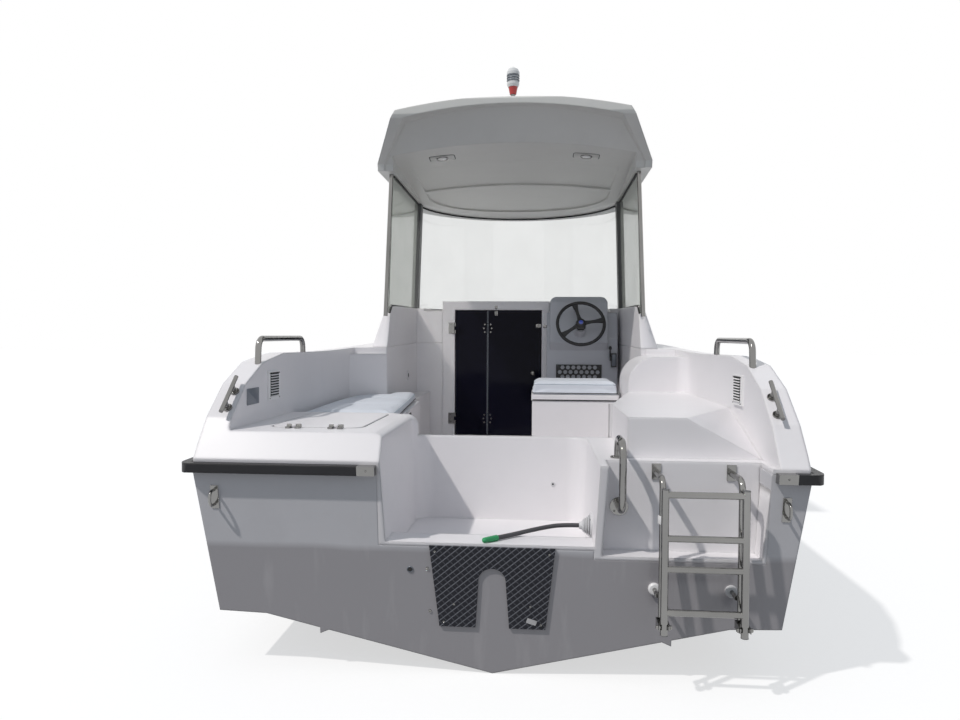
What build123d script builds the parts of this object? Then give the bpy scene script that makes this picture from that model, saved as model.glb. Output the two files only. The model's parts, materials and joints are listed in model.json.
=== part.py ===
from build123d import *
import math
import os

# A small pilothouse fishing boat. Lengths are in mm. While it is drawn, Y is the
# distance forward of the transom's top, X is to starboard and Z is up from the
# waterline. Everything is moved aft at the end, so that the origin lies amidships.

origin_from_transom = 2300.0

# hull stations: distance, keel height, chine inner and outer half width, chine
# height, half width and height where the side ends above the sheer
STATION, KEEL_Z, CHINE_IN, CHINE_OUT, CHINE_Z, SIDE_X, SIDE_Z = range(7)
hull_stations = [
    (-1000.0, -253.0, 820.0, 996.0, -46.0, 1078.0, 640.0),
    (-120.0, -253.0, 820.0, 996.0, -46.0, 1078.0, 640.0),
    (700.0, -253.0, 828.0, 1000.0, -46.0, 1086.0, 650.0),
    (1500.0, -252.0, 830.0, 996.0, -42.0, 1092.0, 665.0),
    (2300.0, -250.0, 810.0, 970.0, -25.0, 1088.0, 690.0),
    (3050.0, -242.0, 735.0, 890.0, 15.0, 1055.0, 735.0),
    (3750.0, -215.0, 585.0, 725.0, 85.0, 960.0, 790.0),
    (4350.0, -150.0, 395.0, 510.0, 180.0, 800.0, 845.0),
    (4850.0, 0.0, 205.0, 285.0, 300.0, 565.0, 895.0),
    (5200.0, 235.0, 65.0, 100.0, 440.0, 285.0, 930.0),
    (5370.0, 520.0, 14.0, 22.0, 610.0, 60.0, 955.0),
]
sheer_stern_z = 512.0
sheer_middle_z = 585.0
sheer_bow_z = 800.0
sheer_middle_y = 2600.0
sheer_bow_y = 5400.0
transom_rake = 8.5
aft_end_y = -1200.0
strake_x = 630.0
strake_width = 44.0
strake_drop = 24.0
strake_sink = 6.0
strake_shift = 60.0
strake_narrowing = 0.7
strake_fading = 0.8
strake_end = 5

# deck moulding
deck_inset = 8.0
gunwale_z = 885.0
gunwale_bow_z = 1000.0
gunwale_in = 14.0
gunwale_wall = 84.0
gunwale_round = 26.0
ramp_y = [0.0, 95.0, 225.0, 400.0, 640.0]
ramp_z = [523.0, 660.0, 775.0, 852.0, 885.0]
sole_z = 120.0
cockpit_end_y = 2700.0
wall = 40.0

# engine well
well_port_x = -372.0
well_starboard_x = 352.0
well_floor_z = 160.0
well_lip_z = 236.0
well_front_y = 700.0
well_wall = 28.0
well_round = 70.0
well_draft = 2.5
locker_edge_r = 55.0
lip_wall = 12.0
lip_face = 14.0
transom_wall = 150.0
ledge_top_z = 523.0

# ladder recess
recess_port_x = 380.0
recess_port_top_x = 398.0
recess_starboard_x = 916.0
recess_starboard_top_x = 934.0
recess_floor_z = 204.0
recess_depth = 85.0
recess_wall = 14.0

# benches and lockers
bench_aft_x = 480.0
bench_fore_x = 620.0
bench_top_z = 572.0
locker_top_z = 615.0
locker_end_y = 755.0
quarter_top_z = 670.0
quarter_start_y = 190.0
quarter_end_y = 1490.0
quarter_side_x = 640.0
quarter_return_z = 860.0
quarter_round = 150.0
quarter_slope_x = 685.0
quarter_slope_y = 620.0
lid_gap = 5.0
lid_thick = 14.0
lid_ledge = 18.0
seat_gap = 0.3

# port locker lid
lid_port_x = -850.0
lid_inner_x = -500.0
lid_aft_y = 190.0
lid_fore_y = 715.0
lid_round = 50.0

# pilothouse
house_base_x = 890.0
house_aft_y = 1900.0
house_front_y = 3650.0
house_sill_z = 1150.0
house_front_z = 1190.0
house_wall = 60.0
helm_x = 765.0
helm_fore_x = 718.0
house_taper = 19.0
house_fore_x = 800.0
trunk_front_y = 4700.0
trunk_front_x = 300.0
trunk_front_z = 1030.0
trunk_roof = 40.0
shelf_z = 1150.0
shelf_thick = 26.0
bulkhead_y = 2700.0
bulkhead_thick = 40.0
post_r = 12.5
post_sill_x = 778.0
post_roof_x = 740.0
post_y = 1915.0
post_top_z = 2010.0
pillar_y = 2850.0
pillar_front_y = 2935.0
glass_thick = 6.0
glass_sill_x = 768.0
glass_top_x = 742.0
glass_aft_y = 1945.0
glass_top_z = 1944.0
screen_top_y = 3560.0

# foredeck hatch
hatch_y = 4240.0
hatch_half = 215.0
hatch_hole = 180.0
hatch_thick = 24.0

# roof
roof_side_z = 1950.0
roof_low_x = 805.0
roof_top_x = 652.0
roof_aft_y = 1560.0
roof_low_aft_y = 1810.0
roof_front_y = 3660.0
roof_shoulder = 40.0
roof_rise = 275.0
roof_crest = 68.0
roof_front_rise = 165.0
rim_height = 62.0
rim_wall = 42.0
fascia_depth = 34.0
ceiling_rise = 78.0
arch_rise = 52.0
ceiling_fall = 0.075
panel_depth = 10.0
panel_aft_y = 2080.0
panel_fore_y = 3330.0
panel_half = 640.0
rib_y = 2590.0
rib_width = 46.0

# door
door_port_x = -440.0
frame_port_x = -530.0
frame_starboard_x = 236.0
headroom_y = 3130.0
headroom_z = 1192.0
door_starboard_x = 180.0
door_fold_x = -205.0
door_low_z = 262.0
door_top_z = 1160.0
door_thick = 10.0
door_gap = 4.0
door_frame_top_z = 1222.0
door_frame_low_z = 200.0
knuckle_r = 7.0
pin_r = 3.0
pin_clearance = 0.05

# helm
console_port_x = 215.0
console_starboard_x = 700.0
console_aft_y = 2540.0
console_hood_z = 1250.0
console_low_z = 640.0
pod_port_x = 236.0
pod_starboard_x = 632.0
pod_round = 46.0
wheel_x = 440.0
wheel_y = 2440.0
wheel_z = 1060.0
wheel_r = 168.0
wheel_rim_r = 12.0
wheel_tilt = 25.0
shaft_r = 11.0
seat_port_x = 122.0
seat_starboard_x = 618.0
seat_aft_y = 1760.0
seat_depth = 420.0
seat_fore_y = seat_aft_y + seat_depth
seat_top_z = 596.0
seat_lid_thick = 34.0
cushion_thick = 82.0
bench_cushion_thick = 50.0

# rail round the sheer
rail_height = 34.0
rail_width = 34.0
rail_corner_r = 44.0
cap_length = 62.0

# motor pad
pad_top_z = 226.0
pad_bottom_z = -74.0
pad_top_x = 220.0
pad_low_x = 188.0
pad_leg_inner = 60.0
pad_slot_top_z = 148.0
pad_slot_r = 48.0
pad_thick = 8.0
pad_x = 0.0

# swim ladder
ladder_port_x = 574.0
ladder_starboard_x = 833.0
tube_r = 12.5
inner_tube_r = 11.0
ladder_top_z = 462.0
ladder_low_z = -22.0
rung_z = [443.0, 299.0, 198.0, 54.0]
ladder_off = 104.0
ladder_gap = 50.0
ladder_pivot_z = 5.0
ladder_foot_z = 92.0

# cord: the steering cable that lies in the well
cable_r = 8.0


def block(x0, x1, y0, y1, z0, z1):
    """Returns a box between two corners."""
    centre = Pos((x0 + x1) / 2, (y0 + y1) / 2, (z0 + z1) / 2)
    return centre * Box(abs(x1 - x0), abs(y1 - y0), abs(z1 - z0))


def side_prism(points, x0, x1):
    """Returns a solid of a (y, z) outline that runs from x0 to x1."""
    outline = [(x0, y, z) for y, z in points]
    return extrude(make_face(Polyline(*outline, close=True)), amount=x1 - x0, dir=(1, 0, 0))


def cross_prism(points, y0, y1):
    """Returns a solid of an (x, z) outline that runs from y0 to y1."""
    outline = [(x, y0, z) for x, z in points]
    return extrude(make_face(Polyline(*outline, close=True)), amount=y1 - y0, dir=(0, 1, 0))


def plan_prism(points, z0, z1, radius=0.0):
    """Returns a solid of an (x, y) outline with rounded corners, from z0 to z1."""
    outline = [(x, y, z0) for x, y in points]
    if radius > 0:
        edge = FilletPolyline(*outline, radius=radius, close=True)
    else:
        edge = Polyline(*outline, close=True)
    return extrude(make_face(edge), amount=z1 - z0, dir=(0, 0, 1))


def rod(start, end, radius):
    """Returns a round bar between two points."""
    line = Line(start, end)
    return extrude(Plane(origin=start, z_dir=line % 0) * Circle(radius), amount=line.length)


def bent_tube(points, radius, bend):
    """Returns a bar along straight runs joined by tangent arcs."""
    path = FilletPolyline(*points, radius=bend)
    return sweep(Plane(origin=path @ 0, z_dir=path % 0) * Circle(radius), path=path)


def mirrored(shape):
    """Returns the shape on the boat's other side."""
    return mirror(shape, about=Plane.YZ)


def transom_y(z):
    """Returns how far forward the raked transom is at a height."""
    return (sheer_stern_z - z) * math.tan(math.radians(transom_rake))


def side_section(y, half):
    """Returns the face of a closed section, from its right half's (x, z) points."""
    right = [(x, y, z) for x, z in half]
    left = [(-x, y, z) for x, z in reversed(half) if x > 0]
    return make_face(Polyline(*(right + left), close=True))


def sheer_curve(offset):
    """Returns the sheer's side profile, moved up by an offset."""
    return ThreePointArc(
        (0, aft_end_y, sheer_stern_z - 8.0 + offset),
        (0, sheer_middle_y, sheer_middle_z + offset),
        (0, sheer_bow_y + 200.0, sheer_bow_z + 16.0 + offset),
    )


def sheer_slab(low, high):
    """Returns the space between the sheer's profile moved by low and by high."""
    bottom = sheer_curve(low)
    top = sheer_curve(high)
    edges = [bottom, Line(bottom @ 1, top @ 1), top, Line(top @ 0, bottom @ 0)]
    return extrude(make_face(edges), amount=1400.0, both=True, dir=(1, 0, 0))


def hull_body(grow, aft):
    """Returns the hull's form with its sides up past the sheer, grown sideways."""
    sections = []
    for number, row in enumerate(hull_stations):
        y = row[STATION] + (grow if number == len(hull_stations) - 1 else 0.0)
        half = [
            (0.0, row[KEEL_Z]),
            (row[CHINE_IN] + grow, row[CHINE_Z] - 6.0),
            (row[CHINE_OUT] + grow, row[CHINE_Z]),
            (row[SIDE_X] + grow, row[SIDE_Z]),
        ]
        sections.append(side_section(y, half))
    body = loft(sections)
    low_y = transom_y(-400.0) - aft
    high_y = transom_y(1200.0) - aft
    past = [(aft_end_y, -400.0), (low_y, -400.0), (high_y, 1200.0), (aft_end_y, 1200.0)]
    return body - side_prism(past, -1400.0, 1400.0)


hull_form = hull_body(0.0, 0.0)
below_sheer = sheer_slab(-1500.0, 0.0)
above_sheer = sheer_slab(0.0, 1500.0)

# upper form of the deck moulding, from the sheer to the gunwale
def sheer_z(y):
    """Returns the sheer's height at a distance."""
    cut = Line((0, y, -2000.0), (0, y, 3000.0))
    return sheer_curve(0.0).intersect(cut).center().Z


def side_x(row, z):
    """Returns the half width of the hull's side at a height, at one station."""
    share = (z - row[CHINE_Z]) / (row[SIDE_Z] - row[CHINE_Z])
    return row[CHINE_OUT] + share * (row[SIDE_X] - row[CHINE_OUT])


def between(y, table):
    """Returns a value read from a table of (distance, value) rows."""
    for (y0, value0), (y1, value1) in zip(table, table[1:]):
        if y <= y1:
            return value0 + (value1 - value0) * (y - y0) / (y1 - y0)
    return table[-1][1]


deck_sections = []
deck_edge = []
deck_height = []
for row in hull_stations:
    share = max(0.0, (row[STATION] - 1400.0) / 4000.0)
    top_z = gunwale_z + share * (gunwale_bow_z - gunwale_z)
    low_x = max(side_x(row, sheer_z(row[STATION])) - deck_inset, 22.0)
    top_x = max(low_x - gunwale_in, 14.0)
    edge = min(gunwale_round, top_x / 2)
    deck_edge.append((row[STATION], top_x))
    deck_height.append((row[STATION], top_z))
    half = [
        (low_x, 300.0),
        (low_x, 560.0 + share * 250.0),
        (top_x, top_z - edge),
        (top_x - edge * 0.3, top_z - edge * 0.3),
        (top_x - edge, top_z),
    ]
    deck_sections.append(side_section(row[STATION], half))
upper_form = loft(deck_sections) & above_sheer
aft_cut = [(aft_end_y, 300.0), (transom_y(300.0), 300.0), (transom_y(ramp_z[0]), ramp_z[0])]
aft_cut += list(zip(ramp_y[1:], ramp_z[1:]))
aft_cut += [(ramp_y[-1] + 400.0, 1300.0), (aft_end_y, 1300.0)]
upper_form = upper_form - side_prism(aft_cut, -1400.0, 1400.0)

# spaces that are open inside the moulding
cockpit_outline = [
    (-bench_aft_x, well_front_y + well_wall),
    (bench_aft_x, well_front_y + well_wall),
    (quarter_side_x, quarter_end_y),
    (quarter_side_x, cockpit_end_y),
    (-bench_fore_x, cockpit_end_y),
]
cockpit_space = plan_prism(cockpit_outline, sole_z, 1600.0, 30.0)
well_outline = [
    (well_port_x, -400.0),
    (well_starboard_x, -400.0),
    (well_starboard_x, well_front_y),
    (well_port_x, well_front_y),
]
well_base = [(x, y, well_floor_z) for x, y in well_outline]
well_face = make_face(FilletPolyline(*well_base, radius=well_round, close=True))
well_space = extrude(well_face, amount=ledge_top_z + 400.0 - well_floor_z, dir=(0, 0, 1), taper=-well_draft)
lip = block(
    well_port_x - 20.0,
    well_starboard_x + 20.0,
    -400.0,
    transom_wall + lip_wall,
    -500.0,
    well_lip_z,
)
well_space = well_space - lip
recess_back_y = transom_y(recess_floor_z) + recess_depth
recess_outline = [
    (recess_port_x, recess_floor_z),
    (recess_starboard_x, recess_floor_z),
    (recess_starboard_top_x, ledge_top_z),
    (recess_starboard_top_x, 900.0),
    (recess_port_top_x, 900.0),
    (recess_port_top_x, ledge_top_z),
]
recess_space = cross_prism(recess_outline, -400.0, recess_back_y)
inner_x = deck_edge[1][1] - gunwale_wall
bulwark_outline = [
    (-inner_x, 60.0),
    (well_port_x + 2.0, 60.0),
    (well_port_x + 2.0, well_front_y + well_wall + 60.0),
    (-bench_aft_x + 60.0, well_front_y + well_wall + 60.0),
    (-bench_fore_x + 60.0, cockpit_end_y),
    (-helm_fore_x, cockpit_end_y),
    (-helm_x, house_aft_y),
    (-inner_x, house_aft_y - 170.0),
]
port_upper = plan_prism(bulwark_outline, locker_top_z, 1600.0, 24.0)
bench_space = block(-inner_x, -bench_aft_x + 5.0, locker_end_y, cockpit_end_y, bench_top_z, 1600.0)
bench_space = bench_space & plan_prism(bulwark_outline, bench_top_z, 1600.0)
quarter_space = plan_prism(
    [
        (bench_aft_x - 90.0, quarter_start_y),
        (inner_x, quarter_start_y - 150.0),
        (inner_x, quarter_end_y),
        (quarter_side_x - 110.0, quarter_end_y),
    ],
    quarter_top_z,
    1600.0,
    60.0,
)
slope_sections = []
for y, x, z in (
    (quarter_start_y - 2.0, quarter_slope_x, ledge_top_z),
    (quarter_slope_y, inner_x - 20.0, quarter_top_z - 8.0),
):
    low_z = z if y < quarter_start_y else quarter_top_z - 8.0
    corner = [(x, y, quarter_top_z + 1.0), (inner_x, y, quarter_top_z + 1.0), (inner_x, y, low_z)]
    slope_sections.append(make_face(Polyline(*corner, close=True)))
quarter_space += loft(slope_sections, ruled=True)
quarter_deck = block(well_starboard_x - 5.0, inner_x, -100.0, quarter_start_y, ledge_top_z, 1600.0)
quarter_deck += block(
    well_starboard_x - 5.0,
    bench_aft_x,
    -100.0,
    well_front_y + well_wall + 1.0,
    ledge_top_z,
    1600.0,
)
quarter_deck += block(
    well_port_x + 1.0,
    well_starboard_x,
    well_front_y - well_round,
    well_front_y + well_wall + 1.0,
    ledge_top_z,
    1600.0,
)
cabin_outline = [
    (-620.0, bulkhead_y + bulkhead_thick),
    (620.0, bulkhead_y + bulkhead_thick),
    (540.0, 3380.0),
    (160.0, 4180.0),
    (-160.0, 4180.0),
    (-540.0, 3380.0),
]
cabin_space = plan_prism(cabin_outline, sole_z + 60.0, shelf_z - shelf_thick, 60.0)
doorway_space = block(
    door_port_x,
    door_starboard_x,
    bulkhead_y - 60.0,
    bulkhead_y + bulkhead_thick + 60.0,
    door_low_z,
    door_top_z,
)
helm_outline = [
    (-bench_fore_x, house_aft_y),
    (helm_x, house_aft_y),
    (helm_fore_x, bulkhead_y),
    (-bench_fore_x, bulkhead_y),
]
helm_floor = plan_prism(helm_outline, sole_z, 1600.0)
helm_floor += block(0.0, quarter_side_x, seat_aft_y - 25.0, house_aft_y + 1.0, sole_z, 1600.0)
helm_upper_outline = [
    (-inner_x, quarter_end_y - 60.0),
    (inner_x, quarter_end_y - 60.0),
    (inner_x, house_aft_y - 60.0),
    (helm_x, house_aft_y - 1.0),
    (helm_fore_x, bulkhead_y),
    (-helm_fore_x, bulkhead_y),
    (-helm_x, house_aft_y - 1.0),
    (-inner_x, house_aft_y - 60.0),
]
house_end_space = plan_prism(helm_upper_outline, quarter_return_z, 1600.0)
return_corner = block(
    quarter_side_x - 16.0,
    quarter_side_x + quarter_round,
    quarter_end_y - 60.0,
    house_aft_y + 1.0,
    quarter_return_z - quarter_round,
    quarter_return_z + 60.0,
)
return_corner -= rod(
    (quarter_side_x + quarter_round, quarter_end_y - 80.0, quarter_return_z - quarter_round),
    (quarter_side_x + quarter_round, house_aft_y + 20.0, quarter_return_z - quarter_round),
    quarter_round,
)

locker_corner = block(
    well_port_x - locker_edge_r,
    well_port_x + 30.0,
    -100.0,
    well_front_y + well_wall + 60.0,
    locker_top_z - locker_edge_r,
    locker_top_z + 60.0,
)
locker_corner -= rod(
    (well_port_x - locker_edge_r, -200.0, locker_top_z - locker_edge_r),
    (well_port_x - locker_edge_r, well_front_y + 200.0, locker_top_z - locker_edge_r),
    locker_edge_r,
)

# the moulding's blocks inside the hull
tub_outline = [
    (-inner_x - 20.0, transom_wall),
    (inner_x + 20.0, transom_wall),
    (inner_x + 20.0, cockpit_end_y - 300.0),
    (600.0, 3400.0),
    (200.0, 4250.0),
    (-200.0, 4250.0),
    (-600.0, 3400.0),
    (-inner_x - 20.0, cockpit_end_y - 300.0),
]
tub = plan_prism(tub_outline, sole_z - wall, 1600.0) & sheer_slab(-1500.0, 0.5)
well_block = block(
    well_port_x - well_wall,
    well_starboard_x + well_wall,
    -400.0,
    transom_wall + 10.0,
    well_lip_z - lip_face,
    1600.0,
)
recess_block = block(
    well_starboard_x,
    recess_starboard_x + recess_wall,
    -400.0,
    transom_wall + 10.0,
    recess_floor_z - recess_wall,
    1600.0,
)
inner_blocks = (tub + well_block + recess_block) & below_sheer & hull_form

hull = hull_form & below_sheer
hull = hull - inner_blocks
strake_sections = []
for number, row in enumerate(hull_stations[1:strake_end]):
    share = number / (strake_end - 2.0)
    rise = (row[CHINE_Z] - strake_sink - row[KEEL_Z]) / row[CHINE_IN]
    outer = (strake_x - strake_shift * share) * row[CHINE_IN] / hull_stations[1][CHINE_IN]
    inner = outer - strake_width * (1.0 - strake_narrowing * share)
    inner_z = row[KEEL_Z] + rise * inner
    outer_z = row[KEEL_Z] + rise * outer
    corners = [
        (inner, row[STATION], inner_z + strake_sink),
        (outer, row[STATION], outer_z + strake_sink),
        (outer, row[STATION], outer_z - strake_drop * (1.0 - strake_fading * share)),
    ]
    strake_sections.append(make_face(Polyline(*corners, close=True)))
strake = loft(strake_sections, ruled=True)
strake_cut = [
    (aft_end_y, -400.0),
    (transom_y(-400.0), -400.0),
    (transom_y(100.0), 100.0),
    (aft_end_y, 100.0),
]
strake = strake - side_prism(strake_cut, 0.0, 1400.0)
hull = hull + (strake - hull_form) + (mirrored(strake) - hull_form)

deck = inner_blocks + upper_form - doorway_space
deck = deck - cockpit_space - well_space - recess_space - port_upper - bench_space
deck = deck - quarter_space - quarter_deck - cabin_space - helm_floor
deck = deck - house_end_space - return_corner - locker_corner

# pilothouse base and cabin trunk, one tapered form on the deck
house_outline = [
    (-house_base_x, house_aft_y),
    (house_base_x, house_aft_y),
    (house_base_x, 2950.0),
    (house_fore_x, 3650.0),
    (trunk_front_x, trunk_front_y),
    (-trunk_front_x, trunk_front_y),
    (-house_fore_x, 3650.0),
    (-house_base_x, 2950.0),
]
house_low_z = gunwale_z - 15.0


def house_shape(inset, low, high):
    """Returns the tapered house form, its walls moved in by an inset."""
    outline = [(x, y, low) for x, y in house_outline]
    face = make_face(FilletPolyline(*outline, radius=110.0, close=True))
    if inset > 0:
        face = offset(face, amount=-inset)
    return extrude(face, amount=high - low, dir=(0, 0, 1), taper=house_taper)


house_form = house_shape(0.0, house_low_z, 1400.0)
sill_profile = [
    (house_aft_y - 300.0, 500.0),
    (trunk_front_y + 300.0, 500.0),
    (trunk_front_y + 300.0, trunk_front_z - 20.0),
    (trunk_front_y - 60.0, trunk_front_z),
    (house_front_y + 160.0, house_front_z - 6.0),
    (house_front_y, house_front_z),
    (house_aft_y - 300.0, house_sill_z),
]
house_form = house_form & side_prism(sill_profile, -1200.0, 1200.0)
house_form = house_form - upper_form
inside_form = house_shape(house_wall, house_low_z - 200.0, 1400.0)
helm_inside = [
    (-helm_x, house_aft_y - 300.0),
    (helm_x, house_aft_y - 300.0),
    (helm_x, house_aft_y),
    (helm_fore_x, bulkhead_y),
    (-helm_fore_x, bulkhead_y),
    (-helm_x, house_aft_y),
]
helm_space = plan_prism(helm_inside, 500.0, 1600.0)
ceiling_profile = [
    (bulkhead_y + bulkhead_thick, 500.0),
    (trunk_front_y - 150.0, 500.0),
    (trunk_front_y - 150.0, trunk_front_z - trunk_roof),
    (house_front_y + 160.0, shelf_z - shelf_thick),
    (bulkhead_y + bulkhead_thick, shelf_z - shelf_thick),
]
cabin_upper = inside_form & side_prism(ceiling_profile, -1200.0, 1200.0)
open_top = inside_form & block(-1000.0, 1000.0, bulkhead_y - 1.0, house_front_y - 120.0, shelf_z, 1600.0)
house = house_form - helm_space - cabin_upper - open_top - doorway_space
frame_fore_y = bulkhead_y + bulkhead_thick
frame_space = block(
    frame_port_x,
    frame_starboard_x,
    bulkhead_y - 1.0,
    frame_fore_y,
    door_frame_low_z,
    door_frame_top_z + 1.0,
)
door_frame = [
    block(frame_port_x, door_port_x, bulkhead_y, frame_fore_y, door_low_z, door_top_z),
    block(door_starboard_x, frame_starboard_x, bulkhead_y, frame_fore_y, door_low_z, door_top_z),
    block(frame_port_x, frame_starboard_x, bulkhead_y, frame_fore_y, door_top_z, door_frame_top_z),
    block(frame_port_x, frame_starboard_x, bulkhead_y, frame_fore_y, door_frame_low_z, door_low_z),
]
door_frame = Compound(children=door_frame)
headroom = block(
    frame_port_x,
    frame_starboard_x,
    bulkhead_y,
    headroom_y + 14.0,
    shelf_z - shelf_thick,
    headroom_z,
)
headroom_space = block(
    frame_port_x + 14.0,
    frame_starboard_x - 14.0,
    bulkhead_y + bulkhead_thick,
    headroom_y,
    shelf_z - 100.0,
    headroom_z - shelf_thick,
)
house = house + headroom - headroom_space
house = house - frame_space - doorway_space - upper_form
deck = deck - frame_space
hatch_well = block(
    -hatch_hole,
    hatch_hole,
    hatch_y - 260.0,
    hatch_y + 190.0,
    sheer_z(hatch_y) + 50.0,
    trunk_front_z,
)
deck = deck - hatch_well

# roof
def roof_section(inset):
    """Returns the roof's cross section as a face, moved in by an inset."""
    low_z = roof_side_z - inset
    shoulder_z = roof_side_z + roof_shoulder
    edge_z = roof_side_z + roof_rise - inset
    low = roof_low_x - inset
    top = roof_top_x - inset
    crest = ThreePointArc((top, 0, edge_z), (0, 0, edge_z + roof_crest), (-top, 0, edge_z))
    right = Polyline((low, 0, low_z), (low, 0, shoulder_z), (top, 0, edge_z))
    left = Polyline((-top, 0, edge_z), (-low, 0, shoulder_z), (-low, 0, low_z))
    return make_face([Line((-low, 0, low_z), (low, 0, low_z)), right, crest, left])


roof_top_z = roof_side_z + roof_rise
roof_front_z = roof_side_z + roof_front_rise
roof_form = Pos(0, 1200.0, 0) * extrude(roof_section(0.0), amount=3000.0, dir=(0, 1, 0))
roof_side = [
    (roof_low_aft_y + 12.0, roof_side_z - 10.0),
    (roof_low_aft_y, roof_side_z + roof_shoulder),
    (roof_aft_y + 8.0, roof_top_z - rim_height + 20.0),
    (roof_aft_y, roof_top_z - rim_height + 40.0),
    (roof_aft_y, roof_top_z + roof_crest - 12.0),
    (roof_aft_y + 16.0, roof_top_z + roof_crest + 1.0),
    (2500.0, roof_top_z + roof_crest + 1.0),
    (roof_front_y - 60.0, roof_front_z),
    (roof_front_y + 20.0, roof_front_z - 60.0),
    (roof_front_y + 30.0, roof_side_z - 20.0),
]
roof_form = roof_form & side_prism(roof_side, -1000.0, 1000.0)
roof_plan = [
    Line((-900.0, 1200.0, 1500.0), (900.0, 1200.0, 1500.0)),
    Line((900.0, 1200.0, 1500.0), (900.0, pillar_y, 1500.0)),
    ThreePointArc((900.0, pillar_y, 1500.0), (0, roof_front_y + 20.0, 1500.0), (-900.0, pillar_y, 1500.0)),
    Line((-900.0, pillar_y, 1500.0), (-900.0, 1200.0, 1500.0)),
]
roof_form = roof_form & extrude(make_face(roof_plan), amount=1200.0, dir=(0, 0, 1))
fascia_line = [
    (1200.0, roof_side_z - 40.0),
    (roof_low_aft_y + fascia_depth * 0.6, roof_side_z - 40.0),
    (roof_low_aft_y + fascia_depth * 0.4, roof_side_z + roof_shoulder),
    (roof_aft_y + fascia_depth + 12.0, roof_top_z + roof_crest - rim_wall),
    (1200.0, roof_top_z + roof_crest - rim_wall),
]
fascia_space = Pos(0, 1200.0, 0) * extrude(roof_section(rim_wall), amount=1200.0, dir=(0, 1, 0))
roof_form = roof_form - (fascia_space & side_prism(fascia_line, -1000.0, 1000.0))
ceiling_half = glass_top_x - 30.0
ceiling_y = 1400.0


def ceiling_form(lift):
    """Returns the space under the arched ceiling, which falls forward, lifted by a height."""
    side_z = roof_side_z + ceiling_rise + (roof_low_aft_y - ceiling_y) * ceiling_fall + lift
    low_z = roof_side_z - 80.0
    arch = ThreePointArc(
        (ceiling_half, ceiling_y, side_z),
        (0, ceiling_y, side_z + arch_rise),
        (-ceiling_half, ceiling_y, side_z),
    )
    right = Polyline(
        (-ceiling_half, ceiling_y, low_z),
        (ceiling_half, ceiling_y, low_z),
        (ceiling_half, ceiling_y, side_z),
    )
    left = Line((-ceiling_half, ceiling_y, side_z), (-ceiling_half, ceiling_y, low_z))
    return extrude(make_face([right, arch, left]), amount=2200.0, dir=(0, 1.0, -ceiling_fall))


panel_plan = [
    Polyline(
        (-panel_half, pillar_y - 50.0, 1500.0),
        (-panel_half, panel_aft_y, 1500.0),
        (panel_half, panel_aft_y, 1500.0),
        (panel_half, pillar_y - 50.0, 1500.0),
    ),
    ThreePointArc(
        (panel_half, pillar_y - 50.0, 1500.0),
        (0, panel_fore_y, 1500.0),
        (-panel_half, pillar_y - 50.0, 1500.0),
    ),
]
panel_space = extrude(make_face(panel_plan), amount=1200.0, dir=(0, 0, 1)) & ceiling_form(panel_depth)
panel_space -= block(-panel_half - 10.0, panel_half + 10.0, rib_y, rib_y + rib_width, 1400.0, 2800.0)
roof = roof_form - ceiling_form(0.0) - panel_space

# glass
def screen_face(z, fore_y, thick):
    """Returns the curved band of the windscreen at one height."""
    side = glass_sill_x - (z - house_sill_z) * (glass_sill_x - glass_top_x) / (glass_top_z - house_sill_z)
    outer = ThreePointArc((side, pillar_front_y, z), (0, fore_y, z), (-side, pillar_front_y, z))
    inner = ThreePointArc(
        (side - thick, pillar_front_y, z),
        (0, fore_y - thick, z),
        (-side + thick, pillar_front_y, z),
    )
    ends = [Line(outer @ 0, inner @ 0), Line(outer @ 1, inner @ 1)]
    return make_face([outer, inner] + ends)


screen_base_y = house_front_y - 30.0
windscreen = loft(
    [
        screen_face(house_sill_z - 40.0, screen_base_y, glass_thick),
        screen_face(roof_side_z + 60.0, screen_top_y, glass_thick),
    ],
    ruled=True,
)
windscreen = windscreen - house_form - roof
windscreen = windscreen.solids().sort_by(SortBy.VOLUME)[-1]


def side_sheet(aft_y, fore_y, thick):
    """Returns an upright sheet along the starboard side window."""
    slope = (glass_sill_x - glass_top_x) / (glass_top_z - house_sill_z)
    low = house_sill_z - 40.0
    high = roof_side_z + 60.0
    low_x = glass_sill_x + 40.0 * slope
    high_x = glass_sill_x - (high - house_sill_z) * slope
    outline = [(low_x, low), (low_x - thick, low), (high_x - thick, high), (high_x, high)]
    return cross_prism(outline, aft_y, fore_y)


side_glass = side_sheet(glass_aft_y, pillar_y, glass_thick) - house_form - roof
pillar = side_sheet(pillar_y, pillar_front_y, 30.0) - house_form - roof
post = rod((post_sill_x, post_y, house_sill_z - 60.0), (post_roof_x, post_y, post_top_z), post_r)
post = post - house_form - roof
side_glass = side_glass.solids().sort_by(SortBy.VOLUME)[-1]
pillar = pillar.solids().sort_by(SortBy.VOLUME)[-1]
post = post.solids().sort_by(SortBy.VOLUME)[-1]

# light on the roof: a foot and stem, a red base and a lens with its cap
light_y = 1760.0
light_base_z = roof_top_z + roof_crest - 4.0
stem_top_z = light_base_z + 74.0
band_top_z = stem_top_z + 42.0
light_stem = Pos(0, light_y, light_base_z + 6.0) * Cylinder(30.0, 12.0)
light_stem += Pos(0, light_y, (light_base_z + stem_top_z) / 2) * Cylinder(13.0, stem_top_z - light_base_z)
light_stem = light_stem - roof
light_band = Pos(0, light_y, (stem_top_z + band_top_z) / 2) * Cone(19.0, 27.0, band_top_z - stem_top_z)
lamp_profile = [
    (0.0, 0.0),
    (30.0, 0.0),
    (36.0, 14.0),
    (36.0, 26.0),
    (31.0, 30.0),
    (31.0, 66.0),
    (37.0, 70.0),
    (37.0, 84.0),
    (30.0, 100.0),
    (14.0, 112.0),
    (0.0, 114.0),
]
lamp_face = make_face(Polyline(*[(x, 0, z) for x, z in lamp_profile], close=True))
light_lamp = Pos(0, light_y, band_top_z) * revolve(lamp_face, axis=Axis.Z)

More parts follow.
